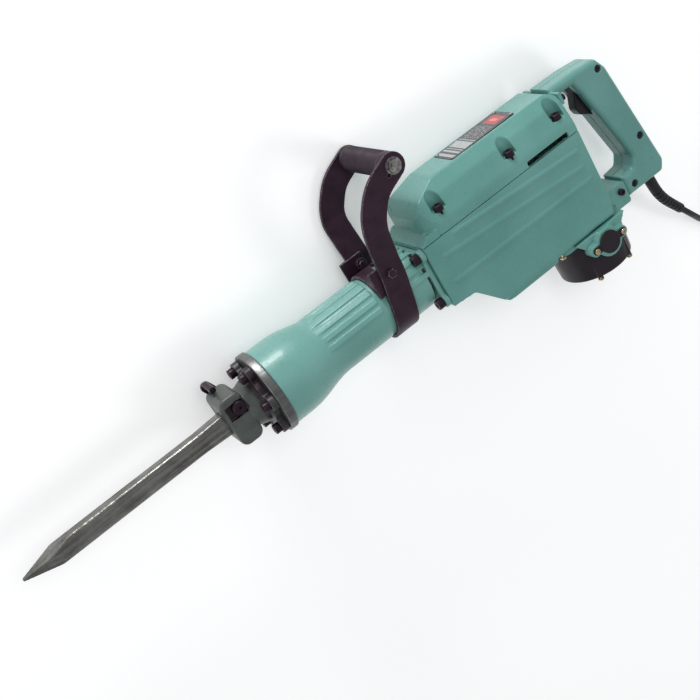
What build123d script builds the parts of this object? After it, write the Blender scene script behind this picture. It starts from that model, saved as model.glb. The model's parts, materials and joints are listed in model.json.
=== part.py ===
from build123d import *
import math
import os

os.makedirs("parts", exist_ok=True)

# An electric demolition hammer. Millimetres. The model is drawn about the barrel:
# +X runs from the point of the bit to the rear handle, +Y is the side of the nameplate,
# the trigger and the side grip, and -Y is the side of the motor drum and the cord.
# The origin is the centre of the barrel's front ring. The tool lies on its far side, so
# TO_REST lifts every piece until the lowest nut stands on Z = 0 and centres the tool.

# ---- driving dimensions ------------------------------------------------------------
HEX = 30.0                      # across the flats of the bit's shank
BIT_TIP_X = -380.0
SHANK_END_X = 31.0
BAR_HEX = 28.0                  # across the flats of the forged bar
MOUTH_X = -63.0                 # front face of the tool retainer
LEVER_X, LEVER_Y = -40.0, 18.0  # axis of the stop lever, parallel to Z
BIT_TRAVEL = 20.0

RING_R, RING_T = 60.0, 12.0
FLANGE_T = 10.0
FRONT_BOLT_R = 47.0             # radius of the circle of front cover bolts
BARREL_R, BARREL_FRONT_R = 45.5, 57.5
BARREL_BORE = 38.0
SEAT_R = 44.8                   # smooth seat of the side handle, a shallow groove
STRIP_R = 47.4                  # outer radius of the raised strips
BODY_FRONT = 273.0              # front face of the crank case
BODY_REAR = 553.0
BODY_TOP, BODY_BOTTOM = 112.0, -92.0
BODY_HALF = 52.0                # half the width of the casting
WALL = 6.0
PART_Y = 45.0                   # parting plane of crank case and gear cover
PART_GAP = 0.5
DECK = (24.5, 37.5)             # inner deck that carries the lower bearings

PLATE_X, PLATE_L, PLATE_W = 437.0, 112.0, 50.0
PLATE_SEAT = BODY_TOP - 1.7     # level of the nameplate's recess
rivet_spots = [(a * (PLATE_L / 2 - 4), b * (PLATE_W / 2 - 4)) for a in (1, -1) for b in (1, -1)]

CYLINDER_BORE = 27.5
CRANK_X, MOTOR_X = 410.0, 516.75
GEAR_MODULE, PINION_MODULE = 2.0, 1.5
MID_X = CRANK_X + GEAR_MODULE * (42 + 13) / 2
CRANK_THROW = 20.0
ROD_LENGTH = 150.0
PISTON_PIN_X = CRANK_X - CRANK_THROW - ROD_LENGTH

DRUM_R = 58.0
DRUM_TOP, DRUM_JOINT, DRUM_BOTTOM = -92.3, -100.0, -160.0
housing_screw_spots = [(455, 37), (455, -37)]
BRUSH_Y = -113.0
BRUSH_FACE = 62.0               # outer face of the brush holder bosses

LUG_X = (545.0, 598.0)           # lug of the crank case that carries the handle's foot
LUG_SCREW = (587.0, -82.5)
RAIL_BOLT_Y, RAIL_BOLT_Z = 92.0, 36.0
TONGUE_X, TONGUE_L = 582.0, 36.0
HANDLE_HALF = 25.5
TRIGGER_X, TRIGGER_Y = 611.0, 84.0
GRIP_X, GRIP_Y, GRIP_R = 288.0, 169.0, 17.5
STRAP = (190.0, 230.0)          # the strap's two edges where it clasps the barrel
STRAP_T = 5.0
STRAP_END_R = 18.0              # round end of each arm
STRAP_OUT = 66.0                # outer face of the strap's arms at the grip
NUT_H = 8.0

CORD_R = 4.75
COIL_TURN_R = 52.0              # mean radius of the coiled cord's turns
COIL_WIDE, COIL_HIGH = 4, 4     # turns side by side and turns on each other
FLOOR = -(STRAP_OUT + NUT_H)
HANDLE_REAR, DRUM_SCREW_HEAD = 673.68, 3.0
TO_REST = Location((-(BIT_TIP_X + HANDLE_REAR) / 2,
                    -(GRIP_Y + STRAP_END_R + DRUM_BOTTOM - DRUM_SCREW_HEAD) / 2, -FLOOR))


# ---- planes and helpers ------------------------------------------------------------
def axial(x):
    """Plane across the barrel: sketch x is +Y, sketch y is +Z, and it faces +X."""
    return Plane(origin=(x, 0, 0), x_dir=(0, 1, 0), z_dir=(1, 0, 0))


def level(y, x=0.0, z=0.0):
    """Plane across the motor's axis: sketch x is +X, and it faces +Y."""
    return Plane(origin=(x, y, z), x_dir=(1, 0, 0), z_dir=(0, 1, 0))


def side(z, x=0.0, y=0.0):
    """Plane of the tool's side view: sketch x is +X, sketch y is +Y, and it faces +Z."""
    return Plane(origin=(x, y, z), x_dir=(1, 0, 0), z_dir=(0, 0, 1))


def save(builder, name):
    """Name a finished piece, lay it down and write it."""
    piece = builder.part.moved(TO_REST)
    piece.label = name
    export_step(piece, f"parts/{name}.step")


def disc(plane, length, outer, inner=0.0):
    """A disc or a ring that stands on a plane, in the builder that is open."""
    with BuildSketch(plane) as outline:
        Circle(outer)
        if inner:
            Circle(inner, mode=Mode.SUBTRACT)
    extrude(outline.sketch, amount=length)


def ring_part(plane, length, outer, inner, edge=0.0):
    """A separate ring with broken outer edges."""
    with BuildPart() as ring:
        disc(plane, length, outer, inner)
        if edge:
            chamfer(ring.edges().filter_by(GeomType.CIRCLE).group_by(SortBy.RADIUS)[-1], edge)
    return ring


def hole(plane, length, radius):
    """Cut a round hole from a plane along its normal."""
    with BuildSketch(plane) as outline:
        Circle(radius)
    extrude(outline.sketch, amount=length, mode=Mode.SUBTRACT)


def holes(plane, length, radius, spots):
    """Cut equal round holes from a plane along its normal."""
    with BuildSketch(plane) as outline:
        with Locations(*spots):
            Circle(radius)
    extrude(outline.sketch, amount=length, mode=Mode.SUBTRACT)


def groove(plane, width, outer, floor):
    """Cut a ring-shaped groove from a plane along its normal."""
    with BuildSketch(plane) as outline:
        Circle(outer)
        Circle(floor, mode=Mode.SUBTRACT)
    extrude(outline.sketch, amount=width, mode=Mode.SUBTRACT)


def socket_screw(head_r, head_h, shank_r, shank_l, socket):
    """A socket head screw whose head stands on the plane XY and whose shank goes down."""
    with BuildPart() as screw:
        disc(Plane.XY, head_h, head_r)
        chamfer(screw.edges().filter_by(GeomType.CIRCLE).sort_by(Axis.Z)[-1:], head_r * 0.1)
        disc(Plane.XY.offset(-shank_l), shank_l, shank_r)
        with BuildSketch(Plane.XY.offset(head_h)):
            RegularPolygon(socket, 6)
        extrude(amount=-head_h * 0.55, mode=Mode.SUBTRACT)
    return screw.part


def cross_screw(head_r, head_h, shank_r, shank_l):
    """A pan head screw with a cross recess."""
    with BuildPart() as screw:
        disc(Plane.XY, head_h, head_r)
        fillet(screw.edges().filter_by(GeomType.CIRCLE).sort_by(Axis.Z)[-1:], head_h * 0.6)
        disc(Plane.XY.offset(-shank_l), shank_l, shank_r)
        with BuildSketch(Plane.XY.offset(head_h)):
            Rectangle(head_r * 1.2, head_r * 0.28)
            Rectangle(head_r * 0.28, head_r * 1.2)
        extrude(amount=-head_h * 0.5, mode=Mode.SUBTRACT)
    return screw.part


def screws(screw, planes):
    """Identical screws, one on each plane, as separate solids of one piece."""
    with BuildPart() as group:
        with Locations(*planes):
            add(screw)
    return group


def tooth_outline(teeth, module, first=0.0, slack=0.10):
    """Corner points of a spur gear with involute flanks; `first` is where a tooth is."""
    pitch = module * teeth / 2
    base = pitch * math.cos(math.radians(20))
    half = math.pi / (2 * teeth) * (1 - 2 * slack)
    involute = math.tan(math.radians(20)) - math.radians(20)
    flank = []
    for step in (0.0, 0.5, 1.0):
        radius = max(base, pitch - module) * (1 - step) + (pitch + 0.9 * module) * step
        turn = math.acos(min(1.0, base / radius))
        flank.append((radius, half + involute - (math.tan(turn) - turn)))
    root = (pitch - 1.25 * module, flank[0][1])
    side_points = [root] + flank
    points = []
    for tooth in range(teeth):
        middle = math.radians(first) + 2 * math.pi * tooth / teeth
        for radius, away in side_points:
            points.append((radius * math.cos(middle - away), radius * math.sin(middle - away)))
        for radius, away in reversed(side_points):
            points.append((radius * math.cos(middle + away), radius * math.sin(middle + away)))
    return points


def gear(plane, width, teeth, module, first=0.0):
    """A spur gear's body, in the builder that is open."""
    with BuildSketch(plane) as outline:
        with BuildLine():
            Polyline(*tooth_outline(teeth, module, first), close=True)
        make_face()
    extrude(outline.sketch, amount=width)


# ---- the bit -----------------------------------------------------------------------
def hexagon(x, across, corner):
    """A hexagon with rounded corners whose flats face +Y and -Y, as a sketch."""
    with BuildSketch(axial(x)) as outline:
        RegularPolygon(across / 2, 6, major_radius=False, rotation=30)
        fillet(outline.vertices(), corner)
    return outline.sketch


BAR_START_X = -104.0            # the bar's full section starts here
POINT_LENGTH = 76.0
with BuildPart() as bull_point:
    extrude(hexagon(MOUTH_X - 4, HEX, 1.5), amount=SHANK_END_X - MOUTH_X + 4)
    chamfer(bull_point.faces().sort_by(Axis.X)[-1].edges(), 1.0)
    loft([hexagon(BAR_START_X, BAR_HEX, 5.0), hexagon(MOUTH_X - 4, HEX, 1.5)])
    extrude(hexagon(BIT_TIP_X, BAR_HEX, 5.0), amount=BAR_START_X - BIT_TIP_X)
    with BuildSketch(side(-HEX)):
        with Locations(((LEVER_X - 9 + LEVER_X + 7.5 + BIT_TRAVEL) / 2, HEX / 2)):
            Rectangle(BIT_TRAVEL + 16.5, 9.0)
    extrude(amount=2 * HEX, mode=Mode.SUBTRACT)
with BuildPart() as point_form:
    with BuildSketch(axial(BIT_TIP_X)):
        Rectangle(3.4, 3.4, rotation=20)
    with BuildSketch(axial(BIT_TIP_X + POINT_LENGTH)):
        Rectangle(31, 31, rotation=20)
    loft()
    with BuildSketch(axial(BIT_TIP_X + POINT_LENGTH)):
        Rectangle(50, 50, rotation=20)
    extrude(amount=SHANK_END_X - BIT_TIP_X)
with BuildPart() as bull_point_ground:
    add(bull_point.part)
    add(point_form.part, mode=Mode.INTERSECT)
save(bull_point_ground, "bull_point")

# ---- front cover with the tool retainer --------------------------------------------
BLOCK_REAR = -29.0
BLOCK_TOP, BLOCK_BOTTOM, BLOCK_HALF = 39.0, -34.0, 28.0
front_bolt_angles = [25 + 60 * k for k in range(6)]     # from +Y towards +Z


def front_bolt_spots(radius=FRONT_BOLT_R):
    return [(radius * math.cos(math.radians(a)), radius * math.sin(math.radians(a)))
            for a in front_bolt_angles]


with BuildPart() as retainer_block:
    with BuildSketch(side(-BLOCK_HALF)):
        with Locations(((MOUTH_X + BLOCK_REAR) / 2, (BLOCK_TOP + BLOCK_BOTTOM) / 2)):
            RectangleRounded(BLOCK_REAR - MOUTH_X, BLOCK_TOP - BLOCK_BOTTOM, 11)
    extrude(amount=2 * BLOCK_HALF)
    fillet(retainer_block.faces().filter_by(Axis.Z).edges(), 4)

with BuildPart() as front_cover:
    disc(axial(-FLANGE_T), FLANGE_T - 0.2, 42.0)
    with BuildSketch(axial(-FLANGE_T)):
        with Locations(*front_bolt_spots()):
            Circle(10.5)
    extrude(amount=FLANGE_T - 0.2)
    fillet(front_cover.edges().filter_by(Axis.X), 5)
    with BuildSketch(axial(-FLANGE_T)):
        Circle(35)
    with BuildSketch(axial(BLOCK_REAR - 1)):
        Circle(29)
    loft()
    add(retainer_block.part)
    extrude(hexagon(MOUTH_X - 1, HEX + 0.8, 1.0), amount=-MOUTH_X + 2, mode=Mode.SUBTRACT)
    hole(axial(-9.0), 10, 27.2)
    holes(axial(-FLANGE_T - 1), FLANGE_T + 2, 4.3, front_bolt_spots())
    hole(side(-BLOCK_HALF - 1, LEVER_X, LEVER_Y), 2 * BLOCK_HALF + 2, 7.1)
    with BuildSketch(side(BLOCK_HALF - 6)):
        with Locations((LEVER_X - 5, LEVER_Y - 1)):
            Rectangle(26, 21)
        with Locations((LEVER_X, LEVER_Y)):
            Circle(10.2)
    extrude(amount=10, mode=Mode.SUBTRACT)
save(front_cover, "front_cover")

front_screw = socket_screw(7.0, 9.0, 4.0, 40.0, 3.4)
front_cover_bolts = screws(front_screw, [
    Plane(origin=(-FLANGE_T, y, z), x_dir=(0, 1, 0), z_dir=(-1, 0, 0))
    for y, z in front_bolt_spots()])
save(front_cover_bolts, "front_cover_bolts")

with BuildPart() as front_ring:
    disc(axial(0), RING_T, RING_R, 30.0)
    chamfer(front_ring.edges().filter_by(GeomType.CIRCLE).group_by(SortBy.RADIUS)[-1], 1.0)
    holes(axial(-1), RING_T + 2, 4.3, front_bolt_spots())
save(front_ring, "front_ring")

# ---- stop lever: a shaft with a flat, a disc on the near side, a finger loop above ----
LEVER_SHAFT_R, LEVER_FLAT, LEVER_OPEN = 7.0, 2.6, 60.0
with BuildPart() as stop_lever:
    disc(side(-BLOCK_HALF - 5, LEVER_X, LEVER_Y), 2 * BLOCK_HALF + 7, LEVER_SHAFT_R)
    with BuildSketch(side(-20, LEVER_X, LEVER_Y)):
        with Locations(Rotation(0, 0, -90 - LEVER_OPEN)):
            with Locations((LEVER_FLAT + 6, 0)):
                Rectangle(12, 30)
    extrude(amount=40, mode=Mode.SUBTRACT)
    disc(side(BLOCK_HALF - 3.5, LEVER_X, LEVER_Y), 7.0, 9.7)
    chamfer(stop_lever.faces().sort_by(Axis.Z)[-1].edges(), 1.2)
    hole(side(BLOCK_HALF - 1, LEVER_X, LEVER_Y), 6, 2.2)
    with BuildSketch(side(-BLOCK_HALF - 5.5)):
        with BuildLine():
            arm = Polyline((LEVER_X, LEVER_Y), (LEVER_X - 12, LEVER_Y + 26))
            offset(arm, 7.5)
        make_face()
    extrude(amount=5)
    with BuildLine() as loop_line:
        FilletPolyline((LEVER_X - 12, LEVER_Y + 26, -BLOCK_HALF - 2), (LEVER_X - 12, LEVER_Y + 32, -BLOCK_HALF + 2),
                       (LEVER_X - 12, LEVER_Y + 30, 2), radius=6)
    with BuildSketch(Plane(loop_line.line @ 0, z_dir=loop_line.line % 0)):
        Circle(4.6)
    sweep(path=loop_line.line)
save(stop_lever, "stop_lever")

# ---- barrel group ------------------------------------------------------------------
with BuildPart() as hex_bushing:
    disc(axial(-8.8), 35.0, 27.0)
    chamfer(hex_bushing.edges().filter_by(GeomType.CIRCLE), 1.0)
    extrude(hexagon(-12, HEX + 0.4, 1.0), amount=50, mode=Mode.SUBTRACT)
save(hex_bushing, "hex_bushing")
save(ring_part(axial(RING_T + 0.2), 14.0, 37.4, 27.4, 0.8), "damper_ring")

HOLDER = (26.6, 112.0)
with BuildPart() as hammer_holder:
    disc(axial(HOLDER[0]), HOLDER[1] - HOLDER[0], 37.6, 20.0)
    for x in (48.0, 78.0):
        groove(axial(x), 14.0, 45.0, 33.0)
save(hammer_holder, "hammer_holder")

with BuildPart() as second_hammer:
    with BuildSketch(Plane.XY):
        with BuildLine():
            Polyline((SHANK_END_X + 0.4, 0), (SHANK_END_X + 0.4, 11.5), (SHANK_END_X + 2.4, 13.5), (44, 13.5),
                     (46, 19.95), (92, 19.95), (95, 17), (98, 17), (98, 0), close=True)
        make_face()
    revolve(axis=Axis.X)
    for x in (58.0, 76.0):
        groove(axial(x), 4.0, 25.0, 17.6)
save(second_hammer, "second_hammer")

strip_angles = [-14, -31, -48, -65, -82]                # from +Z towards -Y


def barrel_strips(x0, x1, height):
    """Raised strips along both lower quarters of the barrel."""
    for angle in strip_angles:
        for mirror_side in (1, -1):
            turn = math.radians(90 + angle) if mirror_side == 1 else math.radians(-90 - angle)
            with BuildSketch(axial(x0)) as strip:
                with Locations(Rotation(0, 0, math.degrees(turn))):
                    with Locations((height - 2.5, 0)):
                        Rectangle(5, 7.5)
            extrude(strip.sketch, amount=x1 - x0)


barrel_bolt_spots = [(36 * a, 42 * b) for a in (1, -1) for b in (1, -1)]
with BuildPart() as barrel_case:
    with BuildSketch(Plane.XY):
        with BuildLine():
            Line((RING_T + 0.2, 0), (RING_T + 0.2, BARREL_FRONT_R))
            Line((RING_T + 0.2, BARREL_FRONT_R), (38, BARREL_FRONT_R))
            Spline((38, BARREL_FRONT_R), (74, 52.5), (114, BARREL_R),
                   tangents=[(1, 0), (1, 0)])
            Polyline((114, BARREL_R), (STRAP[0] - 4, BARREL_R), (STRAP[0] - 3, SEAT_R), (STRAP[1] + 3, SEAT_R),
                     (STRAP[1] + 4, BARREL_R), (BODY_FRONT - 12, BARREL_R), (BODY_FRONT - 12, 0),
                     (RING_T + 0.2, 0))
        make_face()
    revolve(axis=Axis.X)
    barrel_strips(74, STRAP[0] - 4, STRIP_R)
    barrel_strips(STRAP[1] + 4, BODY_FRONT - 8, STRIP_R)
    with BuildSketch(axial(BODY_FRONT - 8)):
        RectangleRounded(84, 92, 16)
        with Locations(*barrel_bolt_spots):
            Circle(10)
    extrude(amount=8 - 0.2)
    hole(axial(0), BODY_FRONT + 5, BARREL_BORE)
    holes(axial(RING_T), 30, 4.2, front_bolt_spots())
    holes(axial(BODY_FRONT - 20), 30, 4.6, barrel_bolt_spots)
save(barrel_case, "barrel_case")

with BuildPart() as cylinder:
    disc(axial(HOLDER[1] + 0.4), 10, 37.6)
    disc(axial(HOLDER[1] + 10.4), 134, 33.5)
    disc(axial(HOLDER[1] + 144.4), BODY_FRONT - HOLDER[1] - 144.8, 37.6)
    hole(axial(HOLDER[1] - 1), 200, CYLINDER_BORE)
    for angle in range(0, 360, 60):
        along = Vector(0, math.cos(math.radians(angle)), math.sin(math.radians(angle)))
        hole(Plane(origin=(196, 0, 0), z_dir=along), 45, 2.5)
save(cylinder, "cylinder")

with BuildPart() as striker:
    with BuildSketch(Plane.XY):
        with BuildLine():
            Polyline((107, 0), (107, 12), (109, 14), (116, 14), (118, 26), (119.4, 27.42),
                     (177, 27.42), (178, 26.4), (178, 12), (172, 10), (172, 0), close=True)
        make_face()
    revolve(axis=Axis.X)
    groove(axial(158), 5.0, 30.0, 24.6)
save(striker, "striker")

PISTON_FACE = PISTON_PIN_X - 25.0
with BuildPart() as piston:
    disc(axial(PISTON_FACE), 47.0, CYLINDER_BORE - 0.08)
    chamfer(piston.faces().sort_by(Axis.X)[0].edges(), 1.2)
    for x in (8.0, 15.0):
        groove(axial(PISTON_FACE + x), 3.0, 30.0, 25.0)
    with BuildSketch(side(-40)):
        with Locations((PISTON_PIN_X + 15, 0)):
            Rectangle(54, 14.6)
    extrude(amount=80, mode=Mode.SUBTRACT)
    hole(level(-40, PISTON_PIN_X), 80, 7.05)
save(piston, "piston")
with BuildPart() as piston_pin:
    disc(level(-23, PISTON_PIN_X), 46, 7.0)
    chamfer(piston_pin.edges().filter_by(GeomType.CIRCLE), 0.8)
save(piston_pin, "piston_pin")

with BuildPart() as connecting_rod:
    with BuildSketch(level(-6)):
        with Locations((PISTON_PIN_X, 0)):
            Circle(11.5)
        with Locations((PISTON_PIN_X + ROD_LENGTH, 0)):
            Circle(16)
        with BuildLine():
            Polyline((PISTON_PIN_X, 7), (PISTON_PIN_X + ROD_LENGTH, 11),
                     (PISTON_PIN_X + ROD_LENGTH, -11), (PISTON_PIN_X, -7), close=True)
        make_face()
    extrude(amount=12)
    with BuildSketch(level(3.5)):
        with Locations((PISTON_PIN_X + ROD_LENGTH / 2, 0)):
            SlotOverall(96, 9)
    extrude(amount=4, mode=Mode.SUBTRACT)
    with BuildSketch(level(-3.5)):
        with Locations((PISTON_PIN_X + ROD_LENGTH / 2, 0)):
            SlotOverall(96, 9)
    extrude(amount=-4, mode=Mode.SUBTRACT)
    hole(level(-8, PISTON_PIN_X), 16, 7.06)
    hole(level(-8, PISTON_PIN_X + ROD_LENGTH), 16, 10.0)
save(connecting_rod, "connecting_rod")

# ---- crank, intermediate shaft and gears ----------------------------------------------
FIRST_STAGE, SECOND_STAGE = (40.0, 12.0), (56.0, 16.0)  # level of each stage and its width
FINAL_GEAR_R = GEAR_MODULE * (42 + 2) / 2                     # over the teeth of the crank gear
LOWER_BEARING, UPPER_BEARING = 25.0, 75.5
BEARING_T = 12.0

with BuildPart() as crank_shaft:
    disc(level(12, CRANK_X), 11.8, 34)
    chamfer(crank_shaft.edges().filter_by(GeomType.CIRCLE), 1.0)
    with BuildSketch(level(11)):
        with Locations((CRANK_X + 22, 14), (CRANK_X + 22, -14)):
            Circle(5)
    extrude(amount=14, mode=Mode.SUBTRACT)
    disc(level(23.5, CRANK_X), 64.5, 10.0)
    disc(level(6.5, CRANK_X - CRANK_THROW), 6, 9.0)
save(crank_shaft, "crank_shaft")
with BuildPart() as final_gear:
    gear(level(SECOND_STAGE[0], CRANK_X), SECOND_STAGE[1], 42, GEAR_MODULE)
    hole(level(SECOND_STAGE[0] - 1, CRANK_X), 20, 10.02)
    for face, way in ((SECOND_STAGE[0] + SECOND_STAGE[1], -3.5), (SECOND_STAGE[0], 3.5)):
        with BuildSketch(level(face, CRANK_X)):
            Circle(34)
            Circle(17, mode=Mode.SUBTRACT)
        extrude(amount=way, mode=Mode.SUBTRACT)
save(final_gear, "final_gear")


def bearing_pair(x, lower, upper, bore):
    """Two ball bearings on one shaft, with a groove between their races."""
    with BuildPart() as pair:
        for height, outer in ((LOWER_BEARING, lower), (UPPER_BEARING, upper)):
            disc(level(height, x), BEARING_T, outer, bore)
        for height, outer in ((LOWER_BEARING, lower), (UPPER_BEARING, upper)):
            middle = (outer + bore) / 2
            spread = (outer - bore) / 6
            for start in (height, height + BEARING_T - 1.2):
                with BuildSketch(level(start, x)):
                    Circle(middle + spread)
                    Circle(middle - spread, mode=Mode.SUBTRACT)
                extrude(amount=1.2, mode=Mode.SUBTRACT)
    return pair


save(bearing_pair(CRANK_X, 23.4, 17.4, 10.06), "crank_bearings")
save(bearing_pair(MID_X, 13.4, 13.4, 8.06), "intermediate_bearings")

with BuildPart() as intermediate_shaft:
    disc(level(LOWER_BEARING, MID_X), 62.0, 8.0)
    gear(level(SECOND_STAGE[0] - 1, MID_X), SECOND_STAGE[1] + 2, 13, GEAR_MODULE, 180 + 180 / 13)
save(intermediate_shaft, "intermediate_shaft")
with BuildPart() as intermediate_gear:
    gear(level(FIRST_STAGE[0], MID_X), FIRST_STAGE[1], 54, PINION_MODULE)
    hole(level(FIRST_STAGE[0] - 1, MID_X), 20, 8.02)
    with BuildSketch(level(FIRST_STAGE[0] + FIRST_STAGE[1], MID_X)):
        Circle(34)
        Circle(14, mode=Mode.SUBTRACT)
    extrude(amount=-3, mode=Mode.SUBTRACT)
save(intermediate_gear, "intermediate_gear")

# ---- motor -------------------------------------------------------------------------
with BuildPart() as armature_shaft:
    disc(level(-146, MOTOR_X), 186.5, 6.0)
    gear(level(FIRST_STAGE[0], MOTOR_X), FIRST_STAGE[1] + 2, 15, PINION_MODULE, 180 + 180 / 15)
save(armature_shaft, "armature_shaft")
CORE = (-88.0, 54.0)
with BuildPart() as armature_core:
    disc(level(CORE[0], MOTOR_X), CORE[1], 21.5, 6.02)
    with BuildSketch(level(CORE[0], MOTOR_X)):
        with PolarLocations(19.5, 16):
            Rectangle(5.0, 2.2)
    extrude(amount=CORE[1], mode=Mode.SUBTRACT)
    disc(level(CORE[0] - 6.5, MOTOR_X), 6.5, 17.0, 6.02)
    disc(level(CORE[0] + CORE[1], MOTOR_X), 6.5, 17.0, 6.02)
save(armature_core, "armature_core")
with BuildPart() as commutator:
    disc(level(-123, MOTOR_X), 22, 15.0, 6.02)
    with BuildSketch(level(-123, MOTOR_X)):
        with PolarLocations(14.6, 24):
            Rectangle(2.0, 0.7)
    extrude(amount=22, mode=Mode.SUBTRACT)
save(commutator, "commutator")
with BuildPart() as cooling_fan:
    disc(level(-24, MOTOR_X), 3, 31, 6.02)
    disc(level(-21, MOTOR_X), 13, 11, 6.02)
    with BuildSketch(level(-21, MOTOR_X)):
        with PolarLocations(20.5, 12):
            Rectangle(20, 1.8)
    extrude(amount=12)
save(cooling_fan, "cooling_fan")
with BuildPart() as stator:
    disc(level(CORE[0], MOTOR_X), CORE[1], 36.0, 22.4)
    for half_turn in (0, 180):
        with BuildSketch(level(CORE[0] - 6, MOTOR_X)):
            with Locations(Rotation(0, 0, half_turn)):
                with Locations((0, 28.5)):
                    RectangleRounded(34, 9, 4)
        extrude(amount=CORE[1] + 12)
    hole(level(CORE[0] - 8, MOTOR_X), 80, 22.4)
save(stator, "stator")
with BuildPart() as motor_bearings:
    disc(level(LOWER_BEARING, MOTOR_X), BEARING_T, 15.9, 6.06)
    disc(level(-146, MOTOR_X), 11, 13.0, 6.06)
save(motor_bearings, "motor_bearings")

BRUSH_HALF = 3.2
with BuildPart() as brush_holders:
    for sign in (1, -1):
        with BuildSketch(side(sign * 22, MOTOR_X, BRUSH_Y)):
            Rectangle(12, 18)
            Rectangle(2 * BRUSH_HALF + 0.5, 12.5, mode=Mode.SUBTRACT)
        extrude(amount=sign * 32)
save(brush_holders, "brush_holders")
for name, sign in (("near", 1), ("far", -1)):
    with BuildPart() as brush:
        with BuildSketch(side(sign * 15.3, MOTOR_X, BRUSH_Y)):
            Rectangle(2 * BRUSH_HALF, 12)
        extrude(amount=sign * 20)
    save(brush, f"brush_{name}")
    with BuildPart() as brush_spring:
        for turn in range(5):
            disc(side(sign * (36.5 + 4.2 * turn), MOTOR_X, BRUSH_Y), sign * 1.4, 2.9, 2.0)
        for quarter in (0, 180):
            with BuildSketch(side(sign * 36.5, MOTOR_X, BRUSH_Y)):
                with Locations(Rotation(0, 0, quarter)):
                    with Locations((2.45, 0)):
                        Rectangle(0.7, 0.7)
            extrude(amount=sign * 18.0)
    save(brush_spring, f"brush_spring_{name}")

cap_ear = 25.0
with BuildPart() as brush_caps:
    for sign in (1, -1):
        disc(side(sign * (BRUSH_FACE + 0.1), MOTOR_X, BRUSH_Y), sign * 2.6, 16.5)
        with BuildSketch(side(sign * (BRUSH_FACE + 0.1), MOTOR_X, BRUSH_Y)):
            SlotCenterToCenter(2 * cap_ear, 11)
        extrude(amount=sign * 1.8)
        with BuildSketch(side(sign * (BRUSH_FACE - 1), MOTOR_X, BRUSH_Y)):
            with Locations((cap_ear, 0), (-cap_ear, 0)):
                Circle(2.3)
        extrude(amount=sign * 6, mode=Mode.SUBTRACT)
        disc(side(sign * (BRUSH_FACE - 5), MOTOR_X, BRUSH_Y), sign * 5.2, 13.0)
save(brush_caps, "brush_caps")
cap_screw = cross_screw(4.2, 2.6, 2.1, 12.0)
cap_screw_planes = [Plane(origin=(MOTOR_X + ear, BRUSH_Y, sign * (BRUSH_FACE + 2.0)), x_dir=(1, 0, 0),
                          z_dir=(0, 0, sign)) for sign in (1, -1) for ear in (cap_ear, -cap_ear)]
save(screws(cap_screw, cap_screw_planes), "brush_cap_screws")


# ---- body castings -------------------------------------------------------------------
def body_blank(inset):
    """The body's outer form, or its cavity when it is set in by the wall."""
    with BuildPart() as blank:
        with BuildSketch(side(-BODY_HALF + inset)):
            with BuildSketch(side(0), mode=Mode.PRIVATE) as outline:
                with BuildLine():
                    Polyline((BODY_FRONT, -48), (BODY_FRONT, 46), (288, 57), (287, 80), (301, 97), (342, BODY_TOP),
                             (540, BODY_TOP - 2), (BODY_REAR, 102), (BODY_REAR, -60), (548, BODY_BOTTOM),
                             (345, BODY_BOTTOM), (309, -51), close=True)
                make_face()
                corners = outline.vertices().sort_by(Axis.X)
                fillet(corners[4:5] + corners[5:6] + corners[6:7], 9)
                fillet(outline.vertices().sort_by_distance((BODY_REAR, 102))[0], 8)
                fillet(outline.vertices().sort_by_distance((540, BODY_TOP - 2))[0], 8)
            add(outline.sketch)
            if inset:
                offset(amount=-inset, kind=Kind.INTERSECTION)
        extrude(amount=2 * (BODY_HALF - inset))
        with BuildSketch(axial(BODY_FRONT - 5)) as section:
            with BuildLine():
                Polyline((BODY_BOTTOM, BODY_HALF), (62, BODY_HALF), (93, 43.5), (BODY_TOP, 29),
                         (BODY_TOP, -29), (93, -43.5), (62, -BODY_HALF), (BODY_BOTTOM, -BODY_HALF), close=True)
            make_face()
            for height, radius in ((BODY_BOTTOM, 8), (62, 30), (93, 16), (BODY_TOP, 7)):
                fillet([v for v in section.vertices() if abs(v.X - height) < 0.01], radius)
            if inset:
                offset(amount=-inset, kind=Kind.INTERSECTION)
        extrude(amount=BODY_REAR - BODY_FRONT + 10, mode=Mode.INTERSECT)
    return blank.part


def slab(low, high):
    """A block that takes in the body between two levels."""
    with BuildPart() as block:
        with BuildSketch(level(low)):
            with Locations(((BODY_FRONT + BODY_REAR) / 2, 0)):
                Rectangle(BODY_REAR - BODY_FRONT + 60, 4 * BODY_HALF)
        extrude(amount=high - low)
    return block.part


def dome_plan(inset):
    """The gear cover's outline from above: its front is well rounded, from the ledge up."""
    with BuildPart() as plan:
        with BuildSketch(level(PART_Y - 5)) as outline:
            with Locations(((DOME_FRONT + BODY_REAR + 60) / 2, 0)):
                RectangleRounded(BODY_REAR + 60 - DOME_FRONT - 2 * inset, 2 * (BODY_HALF - inset), 30 - inset)
        extrude(amount=BODY_TOP)
        with BuildSketch(level(PART_Y - 5)):
            with Locations((BODY_FRONT + 12, 0)):
                Rectangle(36, 2 * (BODY_HALF - inset))
        extrude(amount=LEDGE_Y - PART_Y + 5 - inset)
    return plan.part


DOME_FRONT, LEDGE_Y = 284.0, 57.0
outer_form = body_blank(0)
cavity = body_blank(WALL)
cover_bolt_spots = [(322, 46.5), (448, 46.5), (536, 44.0)]
COVER_BOLT_SEAT = 74.0


def cover_bolt_sites():
    return [(x, sign * z) for x, z in cover_bolt_spots for sign in (1, -1)]


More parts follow.
